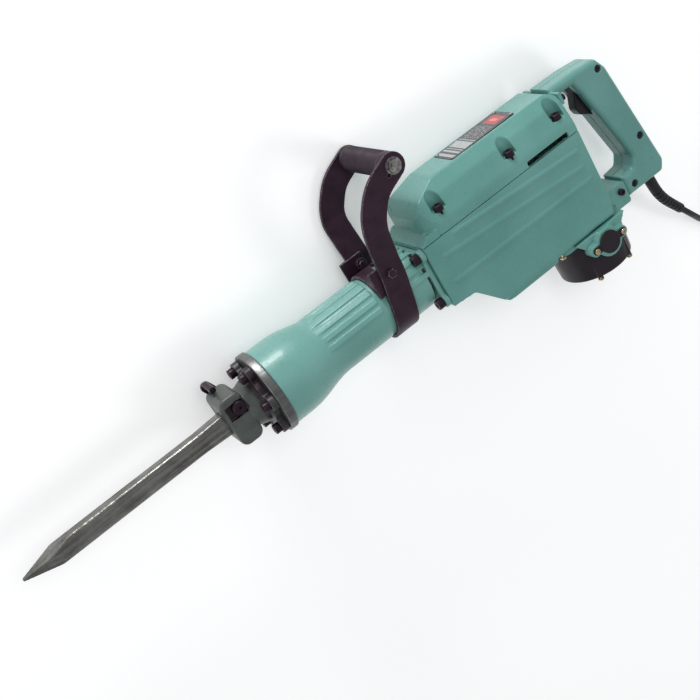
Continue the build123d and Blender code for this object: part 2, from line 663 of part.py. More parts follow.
rib_lines = [((321, 38), (539, 22)), ((294, 19), (537, -2)), ((292, -20), (541, -23))]
with BuildPart() as lower_room:
    add(cavity)
    add(slab(BODY_BOTTOM, DECK[0]), mode=Mode.INTERSECT)
    disc(level(BODY_BOTTOM + 10, MOTOR_X), DECK[0] - BODY_BOTTOM - 10, 37.0)
with BuildPart() as upper_room:
    add(cavity)
    add(slab(DECK[1], PART_Y + 5), mode=Mode.INTERSECT)
    holes(level(DECK[1]), 20, 6.0, cover_bolt_sites())
with BuildPart() as crank_case:
    add(outer_form)
    add(slab(BODY_BOTTOM - 5, PART_Y), mode=Mode.INTERSECT)
    disc(level(BODY_BOTTOM + 10, MOTOR_X), DECK[1] - BODY_BOTTOM - 10, 42)
    with BuildSketch(side(-25)):
        with Locations((LUG_X[0] / 2 + LUG_X[1] / 2, -87)):
            RectangleRounded(LUG_X[1] - LUG_X[0], 34, 3)
    extrude(amount=50)
    hole(level(DRUM_TOP + 0.3, MOTOR_X), -40, DRUM_R + 0.5)
    add(lower_room.part, mode=Mode.SUBTRACT)
    add(upper_room.part, mode=Mode.SUBTRACT)
    hole(axial(BODY_FRONT - 5), WALL + 15, BARREL_BORE)
    hole(axial(BODY_FRONT), PISTON_PIN_X + 2 * CRANK_THROW + 25 - BODY_FRONT, CYLINDER_BORE + 1)
    hole(level(DECK[0] - 2, CRANK_X), 30, 23.5)
    hole(level(DECK[0] - 2, MID_X), 30, 13.5)
    hole(level(DECK[0] - 2, MOTOR_X), 30, 16.0)
    hole(level(BODY_BOTTOM - 5, MOTOR_X), 20, 44.0)
    holes(level(DECK[0] - 2), 40, 3.2, cover_bolt_sites())
    for start, end in rib_lines:
        middle = ((start[0] + end[0]) / 2, (start[1] + end[1]) / 2)
        slope = math.degrees(math.atan2(end[1] - start[1], end[0] - start[0]))
        for z, amount in ((BODY_HALF - 0.5, 1.9), (-BODY_HALF + 0.5, -1.9)):
            with BuildSketch(side(z)):
                with Locations(Location((*middle, 0), (0, 0, slope))):
                    RectangleRounded(math.dist(start, end), 5.5, 1.5)
            extrude(amount=amount)
    with BuildSketch(level(BODY_BOTTOM)):
        with Locations((396, 0)):
            RectangleRounded(96, 2 * BODY_HALF - 6, 8)
    extrude(amount=-4)
    with BuildSketch(side(-12.3)):
        with Locations((TONGUE_X, LUG_SCREW[1])):
            Rectangle(TONGUE_L + 4, 16)
    extrude(amount=24.6, mode=Mode.SUBTRACT)
    holes(level(BODY_BOTTOM - 1), WALL + 3, 2.7, housing_screw_spots)
    holes(axial(BODY_FRONT - 1), 16, 4.2, barrel_bolt_spots)
    hole(side(-30, *LUG_SCREW), 60, 2.6)
save(crank_case, "crank_case")

SLOT_X, SLOT_Y = (463.0, 537.0), (46.2, 53.6)
boss_rings = ((CRANK_X, 17.5), (MID_X, 13.5))
with BuildPart() as cover_room:
    add(cavity)
    add(slab(PART_Y - 5, BODY_TOP + 5), mode=Mode.INTERSECT)
    add(dome_plan(WALL), mode=Mode.INTERSECT)
    holes(level(PART_Y - 5), 80, 6.0, cover_bolt_sites())
    holes(level(COVER_BOLT_SEAT - 1), 60, 14.0, cover_bolt_sites())
    disc(level(PART_Y - 5, CRANK_X), SECOND_STAGE[0] + SECOND_STAGE[1] + 1.5 - PART_Y + 5, FINAL_GEAR_R + 1)
    for x, seat in boss_rings:
        hole(level(UPPER_BEARING, x), BODY_TOP - UPPER_BEARING, seat + 5)
with BuildPart() as gear_cover:
    add(outer_form)
    add(slab(PART_Y + PART_GAP, BODY_TOP + 5), mode=Mode.INTERSECT)
    add(dome_plan(0), mode=Mode.INTERSECT)
    add(cover_room.part, mode=Mode.SUBTRACT)
    for x, seat in boss_rings:
        hole(level(UPPER_BEARING - 2, x), BEARING_T + 3, seat)
    holes(level(COVER_BOLT_SEAT), 60, 10.5, cover_bolt_sites())
    holes(level(PART_Y - 5), 40, 3.2, cover_bolt_sites())
    with BuildSketch(side(-BODY_HALF - 5)):
        with Locations(((SLOT_X[0] + SLOT_X[1]) / 2, (SLOT_Y[0] + SLOT_Y[1]) / 2)):
            RectangleRounded(SLOT_X[1] - SLOT_X[0], SLOT_Y[1] - SLOT_Y[0], 1.5)
    extrude(amount=2 * BODY_HALF + 10, mode=Mode.SUBTRACT)
    with BuildSketch(level(PLATE_SEAT - 0.1, PLATE_X)):
        RectangleRounded(PLATE_L + 1, PLATE_W + 1, 3)
    extrude(amount=10, mode=Mode.SUBTRACT)
    holes(level(PLATE_SEAT - 5, PLATE_X), 10, 1.7, rivet_spots)
    holes(axial(BODY_REAR - WALL - 2), 10, 2.6, [(RAIL_BOLT_Y, RAIL_BOLT_Z), (RAIL_BOLT_Y, -RAIL_BOLT_Z)])
save(gear_cover, "gear_cover")

cover_screw = socket_screw(6.8, 8.5, 3.0, COVER_BOLT_SEAT - DECK[0], 3.2)
save(screws(cover_screw, [level(COVER_BOLT_SEAT, x, z) for x, z in cover_bolt_sites()]),
     "gear_cover_bolts")
barrel_screw = socket_screw(7.5, 10.0, 4.0, 20.0, 3.6)
save(screws(barrel_screw, [Plane(origin=(BODY_FRONT - 8, y, z), x_dir=(0, 1, 0), z_dir=(-1, 0, 0))
                           for y, z in barrel_bolt_spots]), "barrel_bolts")

with BuildPart() as nameplate:
    with BuildSketch(level(PLATE_SEAT, PLATE_X)):
        RectangleRounded(PLATE_L, PLATE_W, 3)
        with Locations(*rivet_spots):
            Circle(1.7, mode=Mode.SUBTRACT)
    extrude(amount=1.5)
save(nameplate, "nameplate")
with BuildPart() as rivet:
    disc(Plane.XY, 1.1, 2.9)
    fillet(rivet.edges().filter_by(GeomType.CIRCLE).sort_by(Axis.Z)[-1:], 0.8)
    disc(Plane.XY.offset(-5), 5, 1.6)
save(screws(rivet.part, [level(PLATE_SEAT + 1.5, PLATE_X + a, b) for a, b in rivet_spots]),
     "nameplate_rivets")

# ---- motor housing and tail cover ------------------------------------------------------
drum_screw_spots = [(MOTOR_X + 52.5 * math.cos(math.radians(a)), 52.5 * math.sin(math.radians(a)))
                    for a in (58, 122, 238, 302)]
SCREW_COLUMN_TOP = -122.4       # the tail cover's screw columns end under the brush bosses


def boss_outline(z, grow):
    """A brush boss with its ears and the web that joins it to the housing above."""
    with BuildSketch(side(z, MOTOR_X, BRUSH_Y)) as outline:
        Circle(21.5 + grow)
        SlotCenterToCenter(2 * cap_ear, 17 + 2 * grow)
        with BuildLine():
            Polyline((-46 - grow, DRUM_TOP - BRUSH_Y), (-18 - grow, -11), (18 + grow, -11),
                     (46 + grow, DRUM_TOP - BRUSH_Y), close=True)
        make_face()
    return outline.sketch


with BuildPart() as motor_housing:
    disc(level(DRUM_JOINT, MOTOR_X), DRUM_TOP - DRUM_JOINT, DRUM_R)
    for sign in (1, -1):
        extrude(boss_outline(sign * 30, 0), amount=sign * (BRUSH_FACE - 38))
        with BuildSketch(side(sign * 50, MOTOR_X, BRUSH_Y)):
            Circle(21.5)
            SlotCenterToCenter(2 * cap_ear, 17)
        extrude(amount=sign * (BRUSH_FACE - 50))
    with BuildSketch(level(DRUM_TOP, MOTOR_X)):
        Rectangle(3 * DRUM_R, 3 * DRUM_R)
    extrude(amount=10, mode=Mode.SUBTRACT)
    with BuildSketch(level(DRUM_TOP, MOTOR_X - 18)):
        RectangleRounded(2 * DRUM_R - 16, 90, 18)
    extrude(amount=-7)
    holes(level(DRUM_TOP - 8), 9, 2.7, housing_screw_spots)
    hole(level(DRUM_JOINT - 40, MOTOR_X), 60, 47.0)
    with BuildSketch(level(DRUM_JOINT, MOTOR_X)):
        Circle(48)
        Circle(24, mode=Mode.SUBTRACT)
    extrude(amount=4)
    for x, z in drum_screw_spots:
        hole(level(SCREW_COLUMN_TOP - 12.6, x, z), 27, 2.2)
    for sign in (1, -1):
        with BuildSketch(side(sign * 20, MOTOR_X, BRUSH_Y)):
            Rectangle(12.4, 18.4)
        extrude(amount=sign * (BRUSH_FACE - 25), mode=Mode.SUBTRACT)
        hole(side(sign * (BRUSH_FACE - 5.2), MOTOR_X, BRUSH_Y), sign * 8, 13.2)
        for ear in (cap_ear, -cap_ear):
            hole(side(sign * (BRUSH_FACE - 14), MOTOR_X + ear, BRUSH_Y), sign * 20, 2.2)
save(motor_housing, "motor_housing")

with BuildPart() as tail_cover:
    with BuildSketch(side(0, MOTOR_X)):
        with BuildLine():
            Polyline((0, DRUM_BOTTOM), (DRUM_R - 9, DRUM_BOTTOM), (DRUM_R - 3.5, DRUM_BOTTOM + 3),
                     (DRUM_R, DRUM_JOINT - 0.4), (DRUM_R - 3.4, DRUM_JOINT - 0.4),
                     (DRUM_R - 7.5, DRUM_BOTTOM + 4.2), (18, DRUM_BOTTOM + 4.2), (18, -134.6), (13.1, -134.6),
                     (13.1, -146.4), (0, -146.4), close=True)
        make_face()
    revolve(axis=Axis((MOTOR_X, 0, 0), (0, 1, 0)))
    fillet(tail_cover.edges().filter_by(GeomType.CIRCLE).filter_by(
        lambda edge: abs(edge.radius - DRUM_R + 3.5) < 0.01), 2.5)
    for x, z in drum_screw_spots:
        disc(level(DRUM_BOTTOM + 2, x, z), SCREW_COLUMN_TOP - DRUM_BOTTOM - 2, 4.2)
    for x, z in drum_screw_spots:
        hole(level(DRUM_BOTTOM - 1, x, z), 50, 2.3)
    for sign in (1, -1):
        extrude(boss_outline(sign * 24, 0.6), amount=sign * 50, mode=Mode.SUBTRACT)
    with BuildSketch(level(DRUM_BOTTOM - 1, MOTOR_X)):
        with PolarLocations(34, 10):
            SlotOverall(20, 4)
    extrude(amount=8, mode=Mode.SUBTRACT)
save(tail_cover, "tail_cover")

drum_screw = cross_screw(4.4, DRUM_SCREW_HEAD, 2.1, 44.0)
save(screws(drum_screw, [Plane(origin=(x, DRUM_BOTTOM, z), x_dir=(1, 0, 0), z_dir=(0, -1, 0))
                         for x, z in drum_screw_spots]), "tail_cover_screws")
housing_screw = cross_screw(5.2, 3.6, 2.5, 12.0)
save(screws(housing_screw, [Plane(origin=(x, DRUM_TOP - 7, z), x_dir=(1, 0, 0), z_dir=(0, -1, 0))
                            for x, z in housing_screw_spots]), "motor_housing_screws")

# ---- rear handle -----------------------------------------------------------------------
RAIL_START = BODY_REAR + 0.3
HANDLE_SEAM = 0.15
TRIGGER_ROOM = (590.0, 622.0, 33.0, 88.5)               # x and y of the trigger's opening
SWITCH_ROOM = (616.0, 646.0, 30.0, 80.0)
handle_screw_spots = [(637.0, 89.0), (654.0, -31.0), (614.0, -86.0)]


def room(builder_plane, box, length):
    """Cut a rectangular room given by its x and y limits."""
    x0, x1, y0, y1 = box
    with BuildSketch(builder_plane) as outline:
        with Locations(((x0 + x1) / 2, (y0 + y1) / 2)):
            Rectangle(x1 - x0, y1 - y0)
    extrude(outline.sketch, amount=length, mode=Mode.SUBTRACT)


def handle_half(screw_seats):
    """The half of the rear handle on the near side of the seam."""
    with BuildPart() as half:
        with BuildSketch(side(HANDLE_SEAM)):
            with BuildLine():
                FilletPolyline((RAIL_START, 91), (RAIL_START, 108.5), (604, 107.5), (640, 103.5), (650.5, 84),
                               (674, -83), (666, -98.5), (LUG_X[1] + 0.5, -98.5), (LUG_X[1] + 0.5, -66), (621, -64),
                               (629, -50), (612, 20), (599, 70), (591, 91),
                               radius=[0.5, 20, 9, 9, 9, 7, 0.5, 0.5, 7, 9, 40, 20], close=False)
                Line((591, 91), (RAIL_START, 91))
            make_face()
        extrude(amount=HANDLE_HALF - HANDLE_SEAM)
        outer_edges = half.faces().sort_by(Axis.Z)[-1].edges()
        butt_edges = outer_edges.filter_by(
            lambda edge: min(abs(edge.center().X - RAIL_START), abs(edge.center().X - LUG_X[1] - 0.5)) < 0.6)
        fillet([edge for edge in outer_edges if edge not in butt_edges], 8)
        with BuildSketch(side(HANDLE_SEAM)):
            with Locations((TONGUE_X, LUG_SCREW[1])):
                Rectangle(TONGUE_L, 15)
        extrude(amount=12 - HANDLE_SEAM)
        with BuildSketch(side(HANDLE_SEAM)):
            with Locations((RAIL_START + 2.5, 94)):
                RectangleRounded(5, 18, 1)
        extrude(amount=43)
        room(side(0), TRIGGER_ROOM, 10.0)
        room(side(0), SWITCH_ROOM, 15.0)
        hole(level(-99, 652), 18, 8.2)
        hole(side(0, TRIGGER_X, TRIGGER_Y), 15, 3.02)
        hole(side(-1, *LUG_SCREW), 20, 2.8)
        holes(axial(RAIL_START - 1), 10, 2.6, [(RAIL_BOLT_Y, RAIL_BOLT_Z)])
        holes(side(-1), 40, 2.3, handle_screw_spots)
        if screw_seats:
            holes(side(HANDLE_HALF - 5), 10, 5.6, handle_screw_spots)
    return half


handle_near = handle_half(True)
save(handle_near, "handle_half_near")
handle_far_blank = handle_half(False)
with BuildPart() as handle_half_far:
    add(handle_far_blank.part.mirror(Plane.XY))
save(handle_half_far, "handle_half_far")

handle_screw = cross_screw(4.6, 3.0, 2.2, 34.0)
save(screws(handle_screw, [side(HANDLE_HALF - 5, x, y) for x, y in handle_screw_spots]), "handle_screws")
mount_screw = socket_screw(5.0, 6.0, 2.5, 11.0, 2.4)
mount_planes = [Plane(origin=(RAIL_START + 5, RAIL_BOLT_Y, sign * RAIL_BOLT_Z), x_dir=(0, 1, 0), z_dir=(1, 0, 0))
                for sign in (1, -1)]
lug_screw = socket_screw(5.0, 5.0, 2.5, 49.0, 2.4)
with BuildPart() as handle_mount_bolts:
    with Locations(*mount_planes):
        add(mount_screw)
    with Locations(side(25.0, *LUG_SCREW)):
        add(lug_screw)
save(handle_mount_bolts, "handle_mount_bolts")

with BuildPart() as trigger:
    with BuildSketch(side(-9.4)):
        with BuildLine():
            FilletPolyline((606, 87), (599, 85), (588.5, 53), (592, 43), (604, 36), (613, 38), (617, 60), (617, 87),
                           radius=[3, 8, 4, 4, 2, 8], close=False)
            Line((617, 87), (606, 87))
        make_face()
    extrude(amount=18.8)
    fillet(trigger.faces().filter_by(Axis.Z).edges().sort_by(Axis.X)[:6], 1.6)
    hole(side(-12, TRIGGER_X, TRIGGER_Y), 24, 3.06)
save(trigger, "trigger")
with BuildPart() as trigger_pin:
    disc(side(-14, TRIGGER_X, TRIGGER_Y), 28, 3.0)
save(trigger_pin, "trigger_pin")
with BuildPart() as switch_body:
    with BuildSketch(side(-13)):
        with Locations((634, 56)):
            RectangleRounded(18, 36, 1.5)
    extrude(amount=26)
    disc(axial(622.8), 3, 0.1)
    with BuildSketch(axial(622.6)):
        with Locations((52, 0)):
            Circle(3)
    extrude(amount=4)
save(switch_body, "switch_body")

# ---- side handle -----------------------------------------------------------------------
STRAP_MID = STRAP_OUT - STRAP_T / 2
BAND_R = SEAT_R + 0.9 + STRAP_T / 2
CLAMP_BOLT = (219.0, 47.0)
with BuildPart() as strap_section:
    with BuildSketch(axial(100)):
        with BuildLine():
            FilletPolyline((200, STRAP_MID), (112, STRAP_MID), (58, BAND_R), (0, BAND_R), radius=[30, 30])
            ThreePointArc((0, BAND_R), (-BAND_R, 0), (0, -BAND_R))
            FilletPolyline((0, -BAND_R), (58, -BAND_R), (112, -STRAP_MID), (200, -STRAP_MID), radius=[30, 30])
            offset(amount=STRAP_T / 2)
        make_face()
    extrude(amount=260)
with BuildPart() as side_handle_strap:
    with BuildSketch(side(-80)):
        with BuildLine():
            FilletPolyline((207, -80), (211, -10), (222, 45), (224, 118), (252, 154), (GRIP_X, GRIP_Y),
                           radius=[150, 150, 60, 60])
            offset(amount=STRAP_END_R)
        make_face()
    extrude(amount=160)
    add(strap_section.part, mode=Mode.INTERSECT)
    hole(side(-80, GRIP_X, GRIP_Y), 160, 6.2)
    hole(side(-80, GRIP_X - 11, GRIP_Y - 8), 160, 2.4)
    hole(side(-80, *CLAMP_BOLT), 160, 4.2)
save(side_handle_strap, "side_handle_strap")

with BuildPart() as handle_saddle:
    with BuildSketch(axial(STRAP[0] + 2)):
        Circle(BAND_R + 2)
        Circle(SEAT_R + 0.4, mode=Mode.SUBTRACT)
        with Locations((62, 0)):
            Rectangle(78, 96, mode=Mode.INTERSECT)
        for sign in (1, -1):
            with Locations((42, sign * (BAND_R - STRAP_T / 2 - 2.4))):
                Rectangle(38, 4)
    extrude(amount=STRAP[1] - STRAP[0] - 4)
    hole(side(-60, *CLAMP_BOLT), 120, 4.2)
save(handle_saddle, "handle_saddle")

with BuildPart() as clamp_screw:
    with BuildSketch(Plane.XY):
        RegularPolygon(6.5, 6)
    extrude(amount=5)
    disc(Plane.XY.offset(-18), 18, 4.0)
    with BuildSketch(Plane.XY.offset(-9.6)):
        Circle(7.5)
    extrude(amount=-6.5)
save(screws(clamp_screw.part, [Plane(origin=(*CLAMP_BOLT, sign * (BAND_R + STRAP_T / 2)), x_dir=(1, 0, 0),
                                     z_dir=(0, 0, sign)) for sign in (1, -1)]), "saddle_bolts")

with BuildPart() as grip_bolt:
    disc(side(-STRAP_OUT - NUT_H, GRIP_X, GRIP_Y), 2 * (STRAP_OUT + NUT_H), 6.0)
    for sign in (1, -1):
        disc(side(sign * STRAP_OUT, GRIP_X, GRIP_Y), sign * 1.6, 11.5)
        with BuildSketch(side(sign * (STRAP_OUT + 1.6), GRIP_X, GRIP_Y)):
            RegularPolygon(8.5, 6, major_radius=False)
        extrude(amount=sign * (NUT_H - 2.6))
save(grip_bolt, "grip_bolt")

with BuildPart() as side_grip:
    disc(side(-STRAP_MID + 3, GRIP_X, GRIP_Y), 2 * (STRAP_MID - 3), GRIP_R, 6.3)
    chamfer(side_grip.edges().filter_by(GeomType.CIRCLE).group_by(SortBy.RADIUS)[-1], 1.5)
save(side_grip, "side_grip")

# ---- cord, coil and plug -----------------------------------------------------------------
LIE = FLOOR + CORD_R
COIL_AT = Vector(862.0, -250.0, 0.0)
COIL_OUT = COIL_TURN_R + COIL_WIDE * CORD_R
OUTER_TURN_R = COIL_OUT - CORD_R
ENTER, LEAVE = -103.8, 20.0                            # angles about the coil's axis
ARMOR_ROUTE = [(652, -84, 0), (652.5, -112, 0), (660, -146, -4), (688, -185, -14)]


def on_coil(angle, height, ahead=0.0):
    """A point on the outer turn, or ahead of it along its tangent."""
    turn = math.radians(angle)
    return (COIL_AT.X + OUTER_TURN_R * math.cos(turn) - ahead * math.sin(turn),
            COIL_AT.Y + OUTER_TURN_R * math.sin(turn) + ahead * math.cos(turn), height)


PLUG_Z, BOOT_START = FLOOR + 17.0, 82.0
TOP_TURN = LIE + (COIL_HIGH - 1) * 2 * CORD_R
armor_way = (Vector(*ARMOR_ROUTE[-1]) - Vector(*ARMOR_ROUTE[-2])).normalized()
LEAD_ROUTE = [ARMOR_ROUTE[-1], tuple(Vector(*ARMOR_ROUTE[-1]) + armor_way * 31), (730, -240, -40), (764, -273, -60),
              on_coil(ENTER, LIE, -44), on_coil(ENTER, LIE)]
TAIL_ROUTE = [on_coil(LEAVE, TOP_TURN), on_coil(LEAVE, TOP_TURN - 4, 32), on_coil(LEAVE, PLUG_Z, 62),
              on_coil(LEAVE, PLUG_Z, BOOT_START)]


def corner_radii(route):
    """The largest arc that each corner's two runs allow."""
    radii = []
    for before, corner, after in zip(route, route[1:], route[2:]):
        incoming, outgoing = Vector(*corner) - Vector(*before), Vector(*after) - Vector(*corner)
        turn = math.radians(incoming.get_angle(outgoing))
        radii.append(0.45 * min(incoming.length, outgoing.length) / math.tan(turn / 2))
    return radii


def tube(route, radius):
    """A round tube of straight runs joined by tangent arcs, in the builder that is open."""
    radii = corner_radii(route)
    with BuildLine() as path:
        FilletPolyline(*route, radius=radii)
    wire = path.wire()
    with BuildSketch(Plane(wire @ 0, z_dir=wire % 0)) as section:
        Circle(radius)
    sweep(section.sketch, path=wire)
    print("radii", [round(r) for r in radii], "length", round(wire.length, 1))
    return wire.length


with BuildPart() as cord_armor:
    tube(ARMOR_ROUTE, 7.6)
    disc(level(-103, 652), 4.2, 10.0)
save(cord_armor, "cord_armor")
with BuildPart() as cord:
    lead = tube(LEAD_ROUTE, CORD_R)
    tail = tube(TAIL_ROUTE, CORD_R)
print("cord volume over section times length", cord.part.volume / (math.pi * CORD_R ** 2 * (lead + tail)))
save(cord, "cord")
with BuildPart() as cord_coil:
    disc(side(FLOOR + 0.05, COIL_AT.X, COIL_AT.Y), COIL_HIGH * 2 * CORD_R, COIL_OUT,
         COIL_TURN_R - COIL_WIDE * CORD_R)
    fillet(cord_coil.edges().filter_by(GeomType.CIRCLE), CORD_R * 0.9)
save(cord_coil, "cord_coil")

plug_way = Vector(*on_coil(LEAVE, 0, 1)) - Vector(*on_coil(LEAVE, 0))
plug_back = Vector(*on_coil(LEAVE, PLUG_Z, BOOT_START))


def plug_plane(ahead):
    """Plane across the plug, counted from the end of its boot."""
    return Plane(origin=plug_back + plug_way * ahead, x_dir=(0, 0, 1), z_dir=plug_way)


with BuildPart() as plug:
    with BuildSketch(plug_plane(0)):
        Circle(7.0)
    with BuildSketch(plug_plane(26)):
        Circle(9.5)
    loft()
    with BuildSketch(plug_plane(24)):
        Circle(12.0)
    with BuildSketch(plug_plane(36)):
        Circle(16.9)
    loft()
    disc(plug_plane(36), 18, 16.9)
    with BuildSketch(plug_plane(54)):
        with Locations((0, 9.5), (0, -9.5)):
            Circle(2.4)
    extrude(amount=19)
save(plug, "plug")
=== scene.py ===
import json
import math

import bmesh
import bpy
from mathutils import Matrix, Vector, noise

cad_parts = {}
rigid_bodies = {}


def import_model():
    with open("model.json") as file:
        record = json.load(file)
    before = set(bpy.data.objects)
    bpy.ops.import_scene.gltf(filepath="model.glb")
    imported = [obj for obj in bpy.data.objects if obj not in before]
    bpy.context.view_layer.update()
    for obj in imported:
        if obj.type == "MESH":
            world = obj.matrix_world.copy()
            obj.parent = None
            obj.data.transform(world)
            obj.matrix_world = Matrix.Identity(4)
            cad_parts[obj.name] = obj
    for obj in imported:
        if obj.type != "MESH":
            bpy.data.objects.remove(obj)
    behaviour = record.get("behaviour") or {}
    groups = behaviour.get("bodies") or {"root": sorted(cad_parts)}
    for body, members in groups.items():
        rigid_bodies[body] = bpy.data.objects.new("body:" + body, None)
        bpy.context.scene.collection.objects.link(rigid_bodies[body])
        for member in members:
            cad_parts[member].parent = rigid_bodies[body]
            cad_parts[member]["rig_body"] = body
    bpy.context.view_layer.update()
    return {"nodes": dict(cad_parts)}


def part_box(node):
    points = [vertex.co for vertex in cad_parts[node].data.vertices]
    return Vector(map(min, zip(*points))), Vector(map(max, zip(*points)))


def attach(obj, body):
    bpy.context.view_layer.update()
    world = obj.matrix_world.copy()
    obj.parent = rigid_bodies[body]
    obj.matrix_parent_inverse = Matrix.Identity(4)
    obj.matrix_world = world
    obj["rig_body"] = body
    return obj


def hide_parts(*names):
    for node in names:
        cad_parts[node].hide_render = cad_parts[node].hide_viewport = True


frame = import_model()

# The tool is drawn in millimetres about its barrel, as the design is: +X runs from the bit's
# point to the rear handle, +Y is the nameplate's side, and the front ring's face is at x = 0.
MM = 0.001
ring_low, ring_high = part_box("front_ring")
ORIGIN = Vector((ring_low.x, (ring_low.y + ring_high.y) / 2, (ring_low.z + ring_high.z) / 2))


def at(x, y, z):
    """A point of the tool's drawing, in the row frame."""
    return ORIGIN + Vector((x, y, z)) * MM


# ---- materials -------------------------------------------------------------------------
class Look:
    """A node material that is being built around its Principled shader."""

    def __init__(self, name, metallic=0.0, coat=0.0, coat_roughness=0.1, specular=0.5):
        self.material = bpy.data.materials.new(name)
        self.material.use_nodes = True
        self.tree = self.material.node_tree
        self.shader = self.tree.nodes["Principled BSDF"]
        self.shader.inputs["Metallic"].default_value = metallic
        self.shader.inputs["Coat Weight"].default_value = coat
        self.shader.inputs["Coat Roughness"].default_value = coat_roughness
        self.shader.inputs["Specular IOR Level"].default_value = specular
        self.place = self.tree.nodes.new("ShaderNodeTexCoord").outputs["Object"]
        self.normal = None

    def put(self, value, socket):
        """Give a socket a value, or link another socket to it."""
        if isinstance(value, bpy.types.NodeSocket):
            self.tree.links.new(value, socket)
        elif isinstance(value, tuple) and len(value) == 3 and socket.type == "RGBA":
            socket.default_value = (*value, 1.0)
        else:
            socket.default_value = value

    def stretched(self, scale):
        """The object's coordinates, scaled by a different amount along each axis."""
        node = self.tree.nodes.new("ShaderNodeMapping")
        self.put(self.place, node.inputs["Vector"])
        node.inputs["Scale"].default_value = scale
        return node.outputs["Vector"]

    def noise(self, scale, detail=2.0, roughness=0.5, vector=None):
        """Noise, with its scale in periods a metre."""
        node = self.tree.nodes.new("ShaderNodeTexNoise")
        self.put(vector or self.place, node.inputs["Vector"])
        node.inputs["Scale"].default_value = scale
        node.inputs["Detail"].default_value = detail
        node.inputs["Roughness"].default_value = roughness
        return node.outputs["Fac"]

    def span(self, value, low, high, to_low=0.0, to_high=1.0):
        """Map a value from one range to another, held at the ends."""
        node = self.tree.nodes.new("ShaderNodeMapRange")
        self.put(value, node.inputs["Value"])
        node.inputs["From Min"].default_value = low
        node.inputs["From Max"].default_value = high
        node.inputs["To Min"].default_value = to_low
        node.inputs["To Max"].default_value = to_high
        return node.outputs["Result"]

    def sum(self, first, second, operation="ADD"):
        node = self.tree.nodes.new("ShaderNodeMath")
        node.operation = operation
        self.put(first, node.inputs[0])
        self.put(second, node.inputs[1])
        return node.outputs["Value"]

    def mix(self, share, first, second):
        """A colour between two, by a share from 0 to 1."""
        node = self.tree.nodes.new("ShaderNodeMix")
        node.data_type = "RGBA"
        self.put(share, node.inputs["Factor"])
        self.put(first, node.inputs["A"])
        self.put(second, node.inputs["B"])
        return node.outputs["Result"]

    def within(self, low, high, blur):
        """1 inside a box given in the tool's drawing, falling to 0 over a soft edge in millimetres."""
        split = self.tree.nodes.new("ShaderNodeSeparateXYZ")
        self.put(self.place, split.inputs["Vector"])
        share = None
        for axis, start, end in zip("XYZ", at(*low), at(*high)):
            value = split.outputs[axis]
            over_start = self.span(value, start - blur * MM, start)
            under_end = self.span(value, end + blur * MM, end)
            both = self.sum(over_start, under_end, "MULTIPLY")
            share = self.sum(share, both, "MULTIPLY") if share else both
        return share

    def edges(self, radius, reach=0.08):
        """From 0 on flat faces to 1 along edges."""
        bevel = self.tree.nodes.new("ShaderNodeBevel")
        bevel.samples = 4
        bevel.inputs["Radius"].default_value = radius
        geometry = self.tree.nodes.new("ShaderNodeNewGeometry")
        dot = self.tree.nodes.new("ShaderNodeVectorMath")
        dot.operation = "DOT_PRODUCT"
        self.put(bevel.outputs["Normal"], dot.inputs[0])
        self.put(geometry.outputs["Normal"], dot.inputs[1])
        return self.span(dot.outputs["Value"], 1.0, 1.0 - reach)

    def bump(self, height, distance, strength=1.0):
        """Lay one more bump over the ones before it; distance is in metres."""
        node = self.tree.nodes.new("ShaderNodeBump")
        node.inputs["Distance"].default_value = distance
        node.inputs["Strength"].default_value = strength
        self.put(height, node.inputs["Height"])
        if self.normal:
            self.put(self.normal, node.inputs["Normal"])
        self.normal = node.outputs["Normal"]

    def finish(self, colour, roughness):
        self.put(colour, self.shader.inputs["Base Color"])
        self.put(roughness, self.shader.inputs["Roughness"])
        if self.normal:
            self.put(self.normal, self.shader.inputs["Normal"])
        return self.material


def enamel(name, light, dark, peel):
    """Gloss enamel on a sand casting: orange peel, a little waviness, thin at the edges."""
    look = Look(name, coat=0.22, coat_roughness=0.16, specular=0.4)
    broad = look.span(look.noise(11, 3), 0.3, 0.7)
    grain = look.span(look.noise(520, 3, 0.6), 0.25, 0.75)
    colour = look.mix(broad, dark, light)
    colour = look.mix(look.span(grain, 0.0, 1.0, 0.0, 0.22), colour, tuple(c * 1.35 for c in light))
    worn = look.sum(look.edges(0.0012), look.span(look.noise(90, 4, 0.7), 0.35, 0.65), "MULTIPLY")
    thin_paint = tuple(min(1.0, c * 1.6 + 0.05) for c in light)
    colour = look.mix(look.span(worn, 0.1, 1.0, 0.0, 0.55), colour, thin_paint)
    look.bump(look.noise(38, 2), 0.0009, 0.5)
    look.bump(look.noise(430, 2, 0.6), 0.00016 * peel, 1.0)
    look.bump(grain, 0.00006 * peel, 0.8)
    return look.finish(colour, look.span(look.noise(140, 3), 0.3, 0.7, 0.26, 0.40))


def bare_steel(name, light, dark, along, rough=(0.22, 0.45), streak=1.0, dent=0.0):
    """Bare steel with streaks along one axis and, if forged, shallow dents."""
    look = Look(name, metallic=1.0)
    fine = [900.0, 900.0, 900.0]
    fine[along] = 14.0
    wide = [160.0, 160.0, 160.0]
    wide[along] = 5.0
    scratches = look.noise(1.0, 4, 0.6, look.stretched(fine))
    bands = look.noise(1.0, 3, 0.5, look.stretched(wide))
    patches = look.noise(26, 4, 0.65)
    share = look.span(look.sum(look.sum(bands, patches), scratches), 1.1, 1.9)
    colour = look.mix(share, dark, light)
    bright = tuple(min(1.0, c * 1.5) for c in light)
    colour = look.mix(look.sum(look.edges(0.0008), 0.6, "MULTIPLY"), colour, bright)
    look.bump(scratches, 0.00005 * streak, 0.8)
    if dent:
        look.bump(look.noise(60, 3, 0.55), 0.0022 * dent, 0.6)
        look.bump(look.noise(260, 3, 0.6), 0.0004 * dent, 0.6)
    return look.finish(colour, look.span(share, 0.0, 1.0, rough[1], rough[0]))


